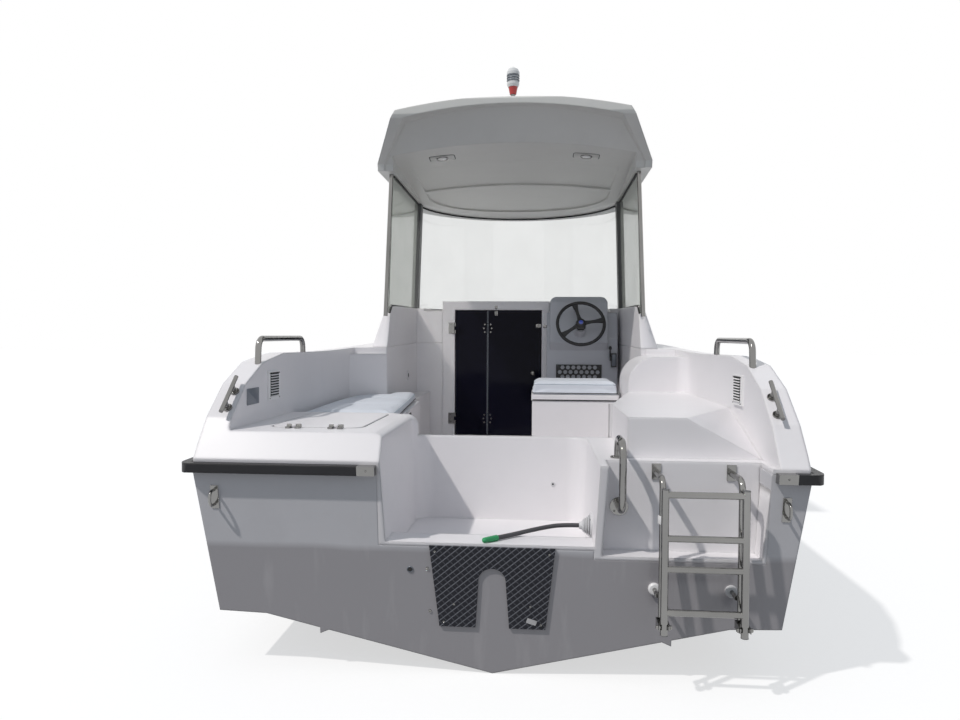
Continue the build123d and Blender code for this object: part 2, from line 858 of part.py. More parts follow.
# rub rail
rail_form = hull_body(rail_width, rail_width)
rail = rail_form & sheer_slab(-rail_height + 8.0, 8.0)
rail_end_x = side_x(hull_stations[1], sheer_stern_z) + rail_width
rail_end_y = -rail_width
corner = block(
    rail_end_x - rail_corner_r,
    rail_end_x + 60.0,
    rail_end_y - 60.0,
    rail_end_y + rail_corner_r,
    300.0,
    700.0,
)
corner -= Pos(
    rail_end_x - rail_corner_r,
    rail_end_y + rail_corner_r,
    500.0,
) * Cylinder(rail_corner_r, 500.0)
rail = rail - hull_form - corner - mirrored(corner)
caps_port_x = well_port_x - well_wall
caps_starboard_x = recess_starboard_x + 27.0
rail_gap = block(caps_port_x - cap_length, caps_starboard_x + cap_length, -400.0, 300.0, 0.0, 900.0)
caps_gap = block(caps_port_x, caps_starboard_x, -400.0, 300.0, 0.0, 900.0)
rail_caps = (rail & rail_gap) - caps_gap
rail = rail - rail_gap

# door
leaf_low_z = door_low_z + door_gap
leaf_top_z = door_top_z - door_gap
leaf_y0 = bulkhead_y + 6.0
leaf_y1 = leaf_y0 + door_thick
jamb_pin_x = door_port_x + 2.0
jamb_pin_y = bulkhead_y - knuckle_r - 3.0
fold_pin_y = leaf_y1 + knuckle_r + 3.0
hinge_z = [1030.0, 383.0]
hinge_length = 78.0


def knuckle(x, y, z, length, outer, inner):
    """Returns an upright hinge barrel, with a bore where an inner radius is given."""
    barrel = Pos(x, y, z) * Cylinder(outer, length)
    if inner > 0:
        barrel -= Pos(x, y, z) * Cylinder(inner, length + 2.0)
    return barrel


leaf_port = block(
    door_port_x + door_gap + 4.0,
    door_fold_x - door_gap / 2,
    leaf_y0,
    leaf_y1,
    leaf_low_z,
    leaf_top_z,
)
leaf_starboard = block(
    door_fold_x + door_gap / 2,
    door_starboard_x - door_gap,
    leaf_y0,
    leaf_y1,
    leaf_low_z,
    leaf_top_z,
)
door_hinges = []
third = hinge_length / 3
for z in hinge_z:
    plate = block(
        door_port_x - 46.0,
        door_port_x - 2.0,
        bulkhead_y - 3.0,
        bulkhead_y,
        z - hinge_length / 2,
        z + hinge_length / 2,
    )
    fixed = plate
    for end in (-1, 1):
        fixed += knuckle(jamb_pin_x, jamb_pin_y, z + end * third, third - 1.0, knuckle_r, 0.0)
        fixed += block(
            door_port_x - 20.0,
            jamb_pin_x,
            jamb_pin_y - 2.0,
            jamb_pin_y + knuckle_r + 3.0,
            z + end * third - third / 2 + 0.5,
            z + end * third + third / 2 - 0.5,
        ) & block(-1000.0, jamb_pin_x, 0.0, bulkhead_y, 0.0, 2000.0)
    fixed += knuckle(jamb_pin_x, jamb_pin_y, z, hinge_length, pin_r, 0.0)
    door_hinges.append(fixed)
    moving = knuckle(jamb_pin_x, jamb_pin_y, z, third - 1.0, knuckle_r, 0.0)
    moving += block(
        jamb_pin_x,
        jamb_pin_x + 34.0,
        jamb_pin_y - 1.5,
        jamb_pin_y + 1.5,
        z - third / 2 + 0.5,
        z + third / 2 - 0.5,
    )
    moving += block(
        jamb_pin_x + 14.0,
        jamb_pin_x + 34.0,
        jamb_pin_y - 1.5,
        leaf_y0,
        z - third / 2 + 0.5,
        z + third / 2 - 0.5,
    )
    moving -= knuckle(jamb_pin_x, jamb_pin_y, z, third + 2.0, pin_r + pin_clearance, 0.0)
    leaf_port += moving
    fold = knuckle(door_fold_x, fold_pin_y, z, third - 1.0, knuckle_r, 0.0)
    fold += block(
        door_fold_x,
        door_fold_x + 26.0,
        leaf_y1,
        fold_pin_y + 1.5,
        z - third / 2 + 0.5,
        z + third / 2 - 0.5,
    )
    fold -= knuckle(door_fold_x, fold_pin_y, z, third + 2.0, pin_r + pin_clearance, 0.0)
    leaf_starboard += fold
    for end in (-1, 1):
        carrier = knuckle(door_fold_x, fold_pin_y, z + end * third, third - 1.0, knuckle_r, 0.0)
        carrier += block(
            door_fold_x - 26.0,
            door_fold_x,
            leaf_y1,
            fold_pin_y + 1.5,
            z + end * third - third / 2 + 0.5,
            z + end * third + third / 2 - 0.5,
        )
        leaf_port += carrier
    leaf_port += knuckle(door_fold_x, fold_pin_y, z, hinge_length, pin_r, 0.0)

# console
console_low = side_prism(
    [
        (bulkhead_y, console_low_z),
        (console_aft_y + 30.0, console_low_z),
        (console_aft_y + 30.0, 960.0),
        (bulkhead_y - 70.0, 1140.0),
        (bulkhead_y, 1140.0),
    ],
    console_port_x,
    console_starboard_x,
)
pod_side = [
    (bulkhead_y, 860.0),
    (console_aft_y + 40.0, 860.0),
    (console_aft_y, 930.0),
    (console_aft_y + 60.0, 1210.0),
    (console_aft_y + 84.0, console_hood_z),
    (bulkhead_y, console_hood_z),
]
pod_front = [
    (pod_port_x, bulkhead_y - 400.0, 860.0),
    (pod_starboard_x, bulkhead_y - 400.0, 860.0),
    (pod_starboard_x, bulkhead_y - 400.0, console_hood_z),
    (pod_port_x, bulkhead_y - 400.0, console_hood_z),
]
pod = extrude(
    make_face(FilletPolyline(*pod_front, radius=pod_round, close=True)),
    amount=400.0,
    dir=(0, 1, 0),
)
pod = pod & side_prism(pod_side, pod_port_x, pod_starboard_x)
console = console_low + pod
console = console - deck - house

# steering wheel, drawn about its own axis and then tilted
wheel_place = Pos(wheel_x, wheel_y, wheel_z) * Rot(90.0 - wheel_tilt, 0, 0)
wheel = Torus(wheel_r - wheel_rim_r, wheel_rim_r)
wheel += Cylinder(34.0, 46.0)
for angle in (105.0, 10.0, 215.0):
    spoke = Pos(wheel_r / 2, 0, 0) * Box(wheel_r - 2.0 * wheel_rim_r, 22.0, 8.0)
    wheel += Rot(0, 0, angle) * spoke
wheel -= Pos(0, 0, -14.0) * Cylinder(shaft_r + pin_clearance, 22.0)
wheel_solid = wheel_place * wheel
shaft = wheel_place * (Pos(0, 0, -75.0) * Cylinder(shaft_r, 140.0))
shaft += wheel_place * (Pos(0, 0, -90.0) * Cylinder(40.0, 90.0))
console += shaft - deck - house

# helm seat
seat_box = block(seat_port_x, seat_starboard_x, seat_aft_y, seat_fore_y, sole_z, seat_top_z)
seat_box -= block(
    seat_port_x + 20.0,
    seat_starboard_x - 20.0,
    seat_aft_y + 20.0,
    seat_fore_y - 20.0,
    sole_z + 25.0,
    700.0,
)
seat_box = seat_box - deck
lid_low = seat_top_z + seat_gap
helm_lid = block(
    seat_port_x - 4.0,
    seat_starboard_x + 4.0,
    seat_aft_y - 4.0,
    seat_fore_y,
    lid_low,
    lid_low + seat_lid_thick,
)
seat_pin_y = seat_fore_y + 14.0
seat_pin_z = lid_low + seat_lid_thick / 2
helm_cushion = block(
    seat_port_x,
    seat_starboard_x,
    seat_aft_y,
    seat_fore_y - 20.0,
    lid_low + seat_lid_thick + seat_gap,
    lid_low + seat_lid_thick + cushion_thick,
)


def cross_hinge(x, y, z, length, lid_to, foot_to, foot_low):
    """Returns a hinge along X: the fixed pin with its feet, and the moving barrel."""
    part_length = length / 3
    fixed = rod((x - length / 2, y, z), (x + length / 2, y, z), pin_r)
    for end in (-1, 1):
        middle = x + end * part_length
        fixed += rod(
            (middle - part_length / 2 + 0.5, y, z),
            (middle + part_length / 2 - 0.5, y, z),
            knuckle_r,
        )
        fixed += block(
            middle - part_length / 2 + 0.5,
            middle + part_length / 2 - 0.5,
            min(y, foot_to),
            max(y, foot_to),
            foot_low,
            z - 1.0,
        )
    moving = rod((x - part_length / 2 + 0.5, y, z), (x + part_length / 2 - 0.5, y, z), knuckle_r)
    moving += block(
        x - part_length / 2 + 0.5,
        x + part_length / 2 - 0.5,
        min(y, lid_to),
        max(y, lid_to),
        z - 2.0,
        z + 2.0,
    )
    moving -= rod((x - length, y, z), (x + length, y, z), pin_r + pin_clearance)
    return fixed, moving


for x in (seat_port_x + 90.0, seat_starboard_x - 90.0):
    fixed, moving = cross_hinge(
        x,
        seat_pin_y,
        seat_pin_z,
        60.0,
        seat_fore_y,
        seat_fore_y,
        seat_pin_z - 30.0,
    )
    fixed += block(x - 30.0, x + 30.0, seat_fore_y, seat_fore_y + 5.0, seat_pin_z - 90.0, seat_pin_z - 20.0)
    seat_box += fixed
    helm_lid += moving

# port locker lid, in a rebate of the locker's top
lid_outline = [
    (lid_port_x, lid_aft_y),
    (lid_inner_x, lid_aft_y),
    (lid_inner_x, lid_fore_y),
    (lid_port_x, lid_fore_y),
]
rebate_outline = [
    (lid_port_x - lid_gap, lid_aft_y - lid_gap),
    (lid_inner_x + lid_gap, lid_aft_y - lid_gap),
    (lid_inner_x + lid_gap, lid_fore_y + lid_gap),
    (lid_port_x - lid_gap, lid_fore_y + lid_gap),
]
locker_outline = [
    (lid_port_x + lid_ledge, lid_aft_y + lid_ledge),
    (lid_inner_x - lid_ledge, lid_aft_y + lid_ledge),
    (lid_inner_x - lid_ledge, lid_fore_y - lid_ledge),
    (lid_port_x + lid_ledge, lid_fore_y - lid_ledge),
]
rebate = plan_prism(rebate_outline, locker_top_z - lid_thick, 800.0, lid_round + lid_gap)
locker_space = plan_prism(locker_outline, sole_z + 60.0, 800.0, lid_round - lid_ledge)
locker_space = locker_space & block(-900.0, 0.0, transom_wall + 40.0, 1000.0, 0.0, 900.0)
locker_lid = plan_prism(lid_outline, locker_top_z - lid_thick + seat_gap, locker_top_z + 1.0, lid_round)
lid_pin_y = lid_aft_y - 14.0
lid_pin_z = locker_top_z + knuckle_r + 1.0
locker_hinges = []
for x in (lid_port_x + 100.0, lid_inner_x - 90.0):
    fixed, moving = cross_hinge(
        x,
        lid_pin_y,
        lid_pin_z,
        54.0,
        lid_aft_y + 36.0,
        lid_pin_y - 26.0,
        locker_top_z,
    )
    moving += block(x - 8.5, x + 8.5, lid_aft_y + 8.0, lid_aft_y + 36.0, locker_top_z, lid_pin_z)
    locker_lid += moving
    locker_hinges.append(fixed)
hull = hull - locker_space - rebate
deck = deck - locker_space - rebate

bench_outline = [
    (-inner_x + 24.0, locker_end_y + 8.0),
    (-bench_aft_x - 12.0, locker_end_y + 8.0),
    (-bench_aft_x - 120.0, 2000.0),
    (-helm_x + 24.0, 2000.0),
    (-helm_x + 12.0, house_aft_y - 20.0),
    (-inner_x + 24.0, house_aft_y - 200.0),
]
bench_cushion = plan_prism(bench_outline, bench_top_z + seat_gap, bench_top_z + bench_cushion_thick, 12.0)

# motor pad that lies on the raked transom
pad_face = [
    (pad_x - pad_top_x, pad_top_z),
    (pad_x + pad_top_x, pad_top_z),
    (pad_x + pad_low_x, pad_bottom_z),
    (pad_x + pad_leg_inner, pad_bottom_z),
    (pad_x + pad_slot_r, pad_slot_top_z - pad_slot_r),
    (pad_x - pad_slot_r, pad_slot_top_z - pad_slot_r),
    (pad_x - pad_leg_inner, pad_bottom_z),
    (pad_x - pad_low_x, pad_bottom_z),
]
engine_pad = cross_prism(pad_face, -300.0, 400.0)
engine_pad -= Pos(pad_x, 0, pad_slot_top_z - pad_slot_r) * Rot(90, 0, 0) * Cylinder(pad_slot_r, 1600.0)
pad_layer = side_prism(
    [
        (transom_y(-300.0) - pad_thick, -300.0),
        (transom_y(-300.0), -300.0),
        (transom_y(500.0), 500.0),
        (transom_y(500.0) - pad_thick, 500.0),
    ],
    -1000.0,
    1000.0,
)
engine_pad = engine_pad & pad_layer

# swim ladder: the fixed frame on the transom and the folded steps outside it
ladder_y = transom_y(200.0) - ladder_off
inner_y = ladder_y + ladder_gap
pivot_r = 5.0
cheek_in = tube_r + 2.0
cheek_out = cheek_in + 4.0
ladder_steps = rod((ladder_port_x, ladder_y, ladder_low_z), (ladder_port_x, ladder_y, ladder_top_z), tube_r)
ladder_steps += rod(
    (ladder_starboard_x, ladder_y, ladder_low_z),
    (ladder_starboard_x, ladder_y, ladder_top_z),
    tube_r,
)
for z in rung_z:
    ladder_steps += rod((ladder_port_x, ladder_y, z), (ladder_starboard_x, ladder_y, z), inner_tube_r)
pin_ends = [
    (ladder_port_x - 60.0, ladder_y, ladder_pivot_z),
    (ladder_starboard_x + 60.0, ladder_y, ladder_pivot_z),
]
ladder_steps -= rod(pin_ends[0], pin_ends[1], pivot_r + pin_clearance)
frame_parts = []
for x in (ladder_port_x, ladder_starboard_x):
    route = [
        (x, recess_back_y, ladder_top_z + 22.0),
        (x, inner_y, ladder_top_z + 22.0),
        (x, inner_y, ladder_low_z),
    ]
    piece = bent_tube(route, inner_tube_r, 34.0)
    piece += block(
        x - 16.0,
        x + 16.0,
        recess_back_y - 5.0,
        recess_back_y,
        ladder_top_z - 4.0,
        ladder_top_z + 52.0,
    )
    piece += block(
        x - cheek_out,
        x + cheek_out,
        inner_y - 3.0,
        inner_y + 3.0,
        ladder_pivot_z - 14.0,
        ladder_pivot_z + 14.0,
    )
    for side in (-1, 1):
        cheek = side_prism(
            [
                (ladder_y - 12.0, ladder_pivot_z - 8.0),
                (ladder_y - 12.0, ladder_pivot_z + 8.0),
                (inner_y + 3.0, ladder_pivot_z + 14.0),
                (inner_y + 3.0, ladder_pivot_z - 14.0),
            ],
            x + cheek_in if side > 0 else x - cheek_out,
            x + cheek_out if side > 0 else x - cheek_in,
        )
        piece += cheek
    piece += rod(
        (x - cheek_out - 4.0, ladder_y, ladder_pivot_z),
        (x + cheek_out + 4.0, ladder_y, ladder_pivot_z),
        pivot_r,
    )
    foot_y = transom_y(ladder_foot_z)
    piece += rod(
        (x - 14.0, inner_y, ladder_foot_z),
        (x - 14.0, foot_y + 10.0, ladder_foot_z),
        8.0,
    ) - hull_form
    piece += rod(
        (x - 14.0, foot_y - 12.0, ladder_foot_z),
        (x - 14.0, foot_y + 10.0, ladder_foot_z),
        15.0,
    ) - hull_form
    frame_parts.append(piece)
ladder_frame = frame_parts[0] + frame_parts[1]

# grab handle beside the ladder recess
grab_x = 445.0
grab_route = [
    (grab_x, 190.0, ledge_top_z - 1.0),
    (grab_x, 190.0, ledge_top_z + 76.0),
    (grab_x, 20.0, ledge_top_z + 76.0),
    (grab_x, 20.0, 360.0),
    (grab_x, recess_back_y + 4.0, 360.0),
]
grab_handle = bent_tube(grab_route, tube_r, 55.0)
grab_handle += rod((grab_x, 190.0, ledge_top_z), (grab_x, 190.0, ledge_top_z + 5.0), 26.0)
grab_handle += rod((grab_x, recess_back_y - 5.0, 360.0), (grab_x, recess_back_y, 360.0), 32.0)
grab_handle = grab_handle - deck

# cleats and rails on the gunwales
cleat_x = 985.0
cleat_y = 160.0
cleat_length = 180.0
cleat_rise = 34.0
cleat_r = 8.0
ramp_angle = math.degrees(math.atan2(ramp_z[2] - ramp_z[1], ramp_y[2] - ramp_y[1]))
cleat_z = ramp_z[1] + (cleat_y - ramp_y[1]) * (ramp_z[2] - ramp_z[1]) / (ramp_y[2] - ramp_y[1])
cleat_place = Pos(cleat_x, cleat_y, cleat_z) * Rot(ramp_angle, 0, 0)
cleat = rod((0, -cleat_length / 2, cleat_rise), (0, cleat_length / 2, cleat_rise), cleat_r)
for end in (-1, 1):
    cleat += rod((0, end * 42.0, -30.0), (0, end * 42.0, cleat_rise), cleat_r)
    cleat += Pos(0, end * 42.0, -12.0) * Cylinder(17.0, 36.0)
cleat = (cleat_place * cleat) - upper_form

side_rail_x = 975.0
side_rail = bent_tube(
    [
        (side_rail_x, 385.0, 760.0),
        (side_rail_x, 400.0, gunwale_z + 62.0),
        (side_rail_x, 945.0, gunwale_z + 66.0),
        (side_rail_x, 960.0, 780.0),
    ],
    tube_r,
    45.0,
)
side_rail = side_rail - upper_form

# pulpit at the bow
pulpit_z = 1235.0
pulpit_in = 48.0
pulpit_y = [4120.0, 4750.0, 5180.0]
pulpit_right = [
    (between(pulpit_y[0], deck_edge) - pulpit_in, pulpit_y[0] - 40.0, gunwale_z - 40.0),
    (between(pulpit_y[0], deck_edge) - pulpit_in - 8.0, pulpit_y[0], pulpit_z - 8.0),
    (between(pulpit_y[1], deck_edge) - pulpit_in, pulpit_y[1], pulpit_z),
    (between(pulpit_y[2], deck_edge) - pulpit_in + 30.0, pulpit_y[2] + 60.0, pulpit_z + 2.0),
]
pulpit_left = [(-x, y, z) for x, y, z in reversed(pulpit_right)]
pulpit_rail = bent_tube(pulpit_right + pulpit_left, tube_r, 70.0)
pulpit_rail = pulpit_rail - upper_form
pulpit = [pulpit_rail]
for side in (-1, 1):
    for y in (pulpit_y[1] - 60.0, pulpit_y[2] - 40.0):
        x = between(y, deck_edge) - pulpit_in
        stanchion = rod((side * x, y, gunwale_z - 40.0), (side * x, y, pulpit_z - 4.0), inner_tube_r)
        pulpit.append(stanchion - upper_form - pulpit_rail)
pulpit = Compound(children=[part.solids()[0] for part in pulpit])

# bow roller
roller_y = 5440.0
roller_z = 1040.0
roller_r = 30.0
roller_half = 27.0
bracket_low_z = roller_z - 65.0
bracket_high_z = roller_z - 34.0
roller_bracket = block(-38.0, 38.0, 5060.0, roller_y - 40.0, bracket_low_z, bracket_high_z)
roller_bracket = roller_bracket - upper_form - hull_form - rail
roller_bracket = roller_bracket.solids().sort_by(SortBy.VOLUME)[-1]
cheek_points = [
    (roller_y - 140.0, bracket_high_z - 6.0),
    (roller_y + 35.0, roller_z - 32.0),
    (roller_y + 35.0, roller_z + 22.0),
    (roller_y - 60.0, roller_z + 22.0),
    (roller_y - 140.0, bracket_high_z),
]
for side in (-1, 1):
    cheek = side_prism(cheek_points, 34.0, 38.0)
    roller_bracket += cheek if side > 0 else mirrored(cheek)
roller_pin_r = 5.0
roller_bracket += rod((-38.0, roller_y, roller_z), (38.0, roller_y, roller_z), roller_pin_r)
bow_roller = rod((-roller_half, roller_y, roller_z), (roller_half, roller_y, roller_z), roller_r)
bow_roller -= rod((-40.0, roller_y, roller_z), (40.0, roller_y, roller_z), roller_pin_r + pin_clearance)

# foredeck hatch
slope_run = trunk_front_y - 60.0 - (house_front_y + 160.0)
slope_drop = house_front_z - 6.0 - trunk_front_z
hatch_z = trunk_front_z + slope_drop * (trunk_front_y - 60.0 - hatch_y) / slope_run
hatch_place = Pos(0, hatch_y, hatch_z) * Rot(-math.degrees(math.atan2(slope_drop, slope_run)), 0, 0)
hatch_edge = [
    (-hatch_half, -hatch_half),
    (hatch_half, -hatch_half),
    (hatch_half, hatch_half),
    (-hatch_half, hatch_half),
]
hatch_flat = plan_prism(hatch_edge, seat_gap, seat_gap + hatch_thick, 50.0)
hatch_hinges = None
hatch_pin_y = hatch_half + 14.0
hatch_pin_z = hatch_thick / 2
for x in (-120.0, 120.0):
    fixed, moving = cross_hinge(
        x,
        hatch_pin_y,
        hatch_pin_z,
        60.0,
        hatch_half - 4.0,
        hatch_pin_y + 24.0,
        0.0,
    )
    hatch_flat += moving
    hatch_hinges = fixed if hatch_hinges is None else hatch_hinges + fixed
hatch_lid = hatch_place * hatch_flat
hatch_hinges = hatch_place * hatch_hinges
house = house - hatch_place * Box(2 * hatch_hole, 2 * hatch_hole, 200.0)

# vents in the bulwarks
vent_y0 = 440.0
vent_y1 = 565.0
vent_z0 = 692.0
vent_z1 = 812.0
vent_thick = 9.0
vent = block(inner_x - vent_thick, inner_x, vent_y0, vent_y1, vent_z0, vent_z1)
for number in range(9):
    z = vent_z0 + 16.0 + number * 11.0
    vent -= block(inner_x - vent_thick - 1.0, inner_x - 2.0, vent_y0 + 18.0, vent_y1 - 18.0, z, z + 5.0)

# pocket and control box on the console
console_face_y = console_aft_y + 30.0
pocket = block(280.0, 592.0, console_face_y - 8.0, console_face_y, 642.0, 780.0)
pocket_hole = 15.0
for column in range(8):
    for line in range(4):
        x = 306.0 + column * 37.0 + (18.5 if line % 2 else 0.0)
        z = 664.0 + line * 32.0
        if x < 575.0:
            hexagon = extrude(Plane.XZ * RegularPolygon(pocket_hole, 6), amount=40.0, both=True)
            pocket -= Pos(x, console_face_y, z) * hexagon
control_box = block(655.0, 690.0, console_face_y - 34.0, console_face_y, 765.0, 860.0)

# rigging boot and steering cable
boot_y = 230.0
boot_z = 262.0
boot_r = 48.0
boot_wall_x = well_starboard_x + (boot_z - well_floor_z) * math.tan(math.radians(well_draft))
boot = rod((boot_wall_x - 10.0, boot_y, boot_z), (boot_wall_x + 8.0, boot_y, boot_z), boot_r)
boot += rod((boot_wall_x - 26.0, boot_y, boot_z), (boot_wall_x - 8.0, boot_y, boot_z), 32.0)
boot += rod((boot_wall_x - 46.0, boot_y, boot_z), (boot_wall_x - 20.0, boot_y, boot_z), 16.0)
boot = boot - deck
cable_route = [
    (boot_wall_x - 46.0, boot_y, boot_z),
    (246.0, boot_y, boot_z),
    (186.0, 209.0, 257.0),
    (124.0, 174.0, 251.0),
    (66.0, 131.0, 246.5),
    (14.0, 87.0, 246.5),
]


def corner_radius(before, here, after):
    """Returns the radius of a cord's arc at one point of its route."""
    back = Vector(before) - Vector(here)
    ahead = Vector(after) - Vector(here)
    turn = 180.0 - back.get_angle(ahead)
    return 0.45 * min(back.length, ahead.length) / math.tan(math.radians(turn / 2))


cable_bends = [corner_radius(*cable_route[n - 1 : n + 2]) for n in range(1, len(cable_route) - 1)]
cable_path = FilletPolyline(*cable_route, radius=cable_bends)
cable = sweep(Plane(origin=cable_path @ 0, z_dir=cable_path % 0) * Circle(cable_r), path=cable_path)
tape_end = Vector(cable_route[-1]) + (Vector(cable_route[-1]) - Vector(cable_route[-2])).normalized() * 62.0
cable_end = rod(cable_route[-1], (tape_end.X, tape_end.Y, tape_end.Z), cable_r + 1.5)

# eyes at the stern and the bow
eye_x = 985.0
eye_z = 385.0
eye_r = 5.0
eye = bent_tube(
    [
        (eye_x, transom_y(eye_z) + 5.0, eye_z + 26.0),
        (eye_x, transom_y(eye_z) - 42.0, eye_z + 26.0),
        (eye_x, transom_y(eye_z) - 42.0, eye_z - 26.0),
        (eye_x, transom_y(eye_z) + 12.0, eye_z - 26.0),
    ],
    eye_r,
    22.0,
)
eye_plate = side_prism(
    [
        (transom_y(eye_z + 42.0) - 3.0, eye_z + 42.0),
        (transom_y(eye_z + 42.0), eye_z + 42.0),
        (transom_y(eye_z - 42.0), eye_z - 42.0),
        (transom_y(eye_z - 42.0) - 3.0, eye_z - 42.0),
    ],
    eye_x - 14.0,
    eye_x + 14.0,
)
eye = (eye + eye_plate) - hull_form

solids = {}
solids["hull"] = hull
solids["deck"] = deck
solids["pilothouse"] = house
solids["roof"] = roof
solids["windscreen"] = windscreen
solids["side_window_starboard"] = side_glass
solids["side_window_port"] = mirrored(side_glass)
solids["pillar_starboard"] = pillar
solids["pillar_port"] = mirrored(pillar)
solids["post_starboard"] = post
solids["post_port"] = mirrored(post)
solids["light_stem"] = light_stem
solids["light_band"] = light_band
solids["light_lamp"] = light_lamp
solids["rub_rail"] = rail
solids["rail_caps"] = rail_caps
solids["door_frame"] = door_frame
solids["door_hinges"] = door_hinges[0] + door_hinges[1]
solids["door_leaf_port"] = leaf_port
solids["door_leaf_starboard"] = leaf_starboard
solids["console"] = console
solids["steering_wheel"] = wheel_solid
solids["helm_seat_box"] = seat_box
solids["helm_seat_lid"] = helm_lid
solids["helm_cushion"] = helm_cushion
solids["locker_lid"] = locker_lid
solids["locker_hinges"] = locker_hinges[0] + locker_hinges[1]
solids["bench_cushion"] = bench_cushion
solids["engine_pad"] = engine_pad
solids["ladder_steps"] = ladder_steps
solids["ladder_frame"] = ladder_frame
solids["grab_handle"] = grab_handle
solids["cleat_starboard"] = cleat
solids["cleat_port"] = mirrored(cleat)
solids["side_rail_starboard"] = side_rail
solids["side_rail_port"] = mirrored(side_rail)
solids["pulpit"] = pulpit
solids["roller_bracket"] = roller_bracket
solids["bow_roller"] = bow_roller
solids["hatch_lid"] = hatch_lid
solids["hatch_hinges"] = hatch_hinges
solids["vent_starboard"] = vent
solids["vent_port"] = mirrored(vent)
solids["pocket"] = pocket
solids["control_box"] = control_box
solids["rigging_boot"] = boot
solids["steering_cable"] = cable
solids["cable_end"] = cable_end
solids["stern_eyes"] = eye + mirrored(eye)

os.makedirs("parts", exist_ok=True)
for name, solid in solids.items():
    moved = Pos(0, -origin_from_transom, 0) * solid
    export_step(moved, "parts/" + name + ".step")
    print(name, len(moved.solids()), round(moved.volume / 1e9, 5), moved.is_valid)
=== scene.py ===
"""Looks for a small open-backed pilothouse boat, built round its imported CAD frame."""

import json
import logging
import math
from collections.abc import Sequence
from dataclasses import dataclass
from enum import Enum

import bmesh
import bpy
from mathutils import Matrix, Quaternion, Vector


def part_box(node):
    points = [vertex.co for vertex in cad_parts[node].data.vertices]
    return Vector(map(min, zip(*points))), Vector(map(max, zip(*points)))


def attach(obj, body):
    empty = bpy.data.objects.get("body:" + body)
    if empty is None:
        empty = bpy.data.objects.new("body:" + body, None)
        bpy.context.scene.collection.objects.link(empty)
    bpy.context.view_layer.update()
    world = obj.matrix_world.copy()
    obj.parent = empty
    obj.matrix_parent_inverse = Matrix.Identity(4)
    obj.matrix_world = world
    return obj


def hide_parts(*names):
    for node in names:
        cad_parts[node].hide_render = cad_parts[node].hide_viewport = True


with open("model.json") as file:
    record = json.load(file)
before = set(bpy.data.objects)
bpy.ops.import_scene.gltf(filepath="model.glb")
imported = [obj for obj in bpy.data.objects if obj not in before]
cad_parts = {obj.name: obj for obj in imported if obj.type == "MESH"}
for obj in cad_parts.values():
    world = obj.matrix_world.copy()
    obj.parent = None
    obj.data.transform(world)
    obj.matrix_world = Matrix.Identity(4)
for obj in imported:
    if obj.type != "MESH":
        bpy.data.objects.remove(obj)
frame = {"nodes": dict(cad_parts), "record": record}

LOG = logging.getLogger("boat")
CAMERA_ROLL = math.radians(0.3)
CAMERA_PLACE = (0.155, -2.44, 0.946)
PHOTO_WIDTH, PHOTO_HEIGHT = 960.0, 720.0
FOCAL_LENGTH = 720.0
VANISHING_X, VANISHING_Y = 538.0, 340.0
SENSOR_WIDTH = 36.0
COAT_ROUGHNESS = 0.06
GRAIN_GAIN = 4.0
ORIGIN_FROM_TRANSOM = 2.3
Point = tuple[float, float, float]
Flat = tuple[float, float]
Colour = tuple[float, float, float]
AFT = Vector((0.0, -1.0, 0.0)).freeze()
FORWARD = Vector((0.0, 1.0, 0.0)).freeze()
UP = Vector((0.0, 0.0, 1.0)).freeze()
DOWN = Vector((0.0, 0.0, -1.0)).freeze()
TO_PORT = Vector((-1.0, 0.0, 0.0)).freeze()
TO_STARBOARD = Vector((1.0, 0.0, 0.0)).freeze()


class Body(str, Enum):
    """Names of the CAD bodies that the pieces ride on."""

    BOAT = "boat"
    DOOR_PORT = "door_leaf_port_body"
    DOOR_STARBOARD = "door_leaf_starboard_body"
    WHEEL = "steering_wheel_body"
    SEAT_LID = "helm_seat_lid_body"
    LADDER = "ladder_steps_body"
    HATCH = "hatch_lid_body"


@dataclass(frozen=True)
class Finish:
    """One surface finish, in plain shader numbers.

    Attributes:
        colour: Base colour, linear.
        roughness: Middle roughness.
        metallic: 1 for bare metal.
        coat: Weight of the clear coat.
        mottle: How far the colour drifts over the surface.
        mottle_scale: Size of that drift, in repeats per metre.
        grain: Height of the fine surface grain.
        grain_scale: Size of the grain, in repeats per metre.
        soil: How much dust and staining shows.
        wear: How far edges are rubbed paler.
    """

    colour: Colour
    roughness: float = 0.4
    metallic: float = 0.0
    coat: float = 0.0
    mottle: float = 0.04
    mottle_scale: float = 3.0
    grain: float = 0.02
    grain_scale: float = 400.0
    soil: float = 0.0
    wear: float = 0.0
    edge: float = 0.0
    specular: float = 0.5


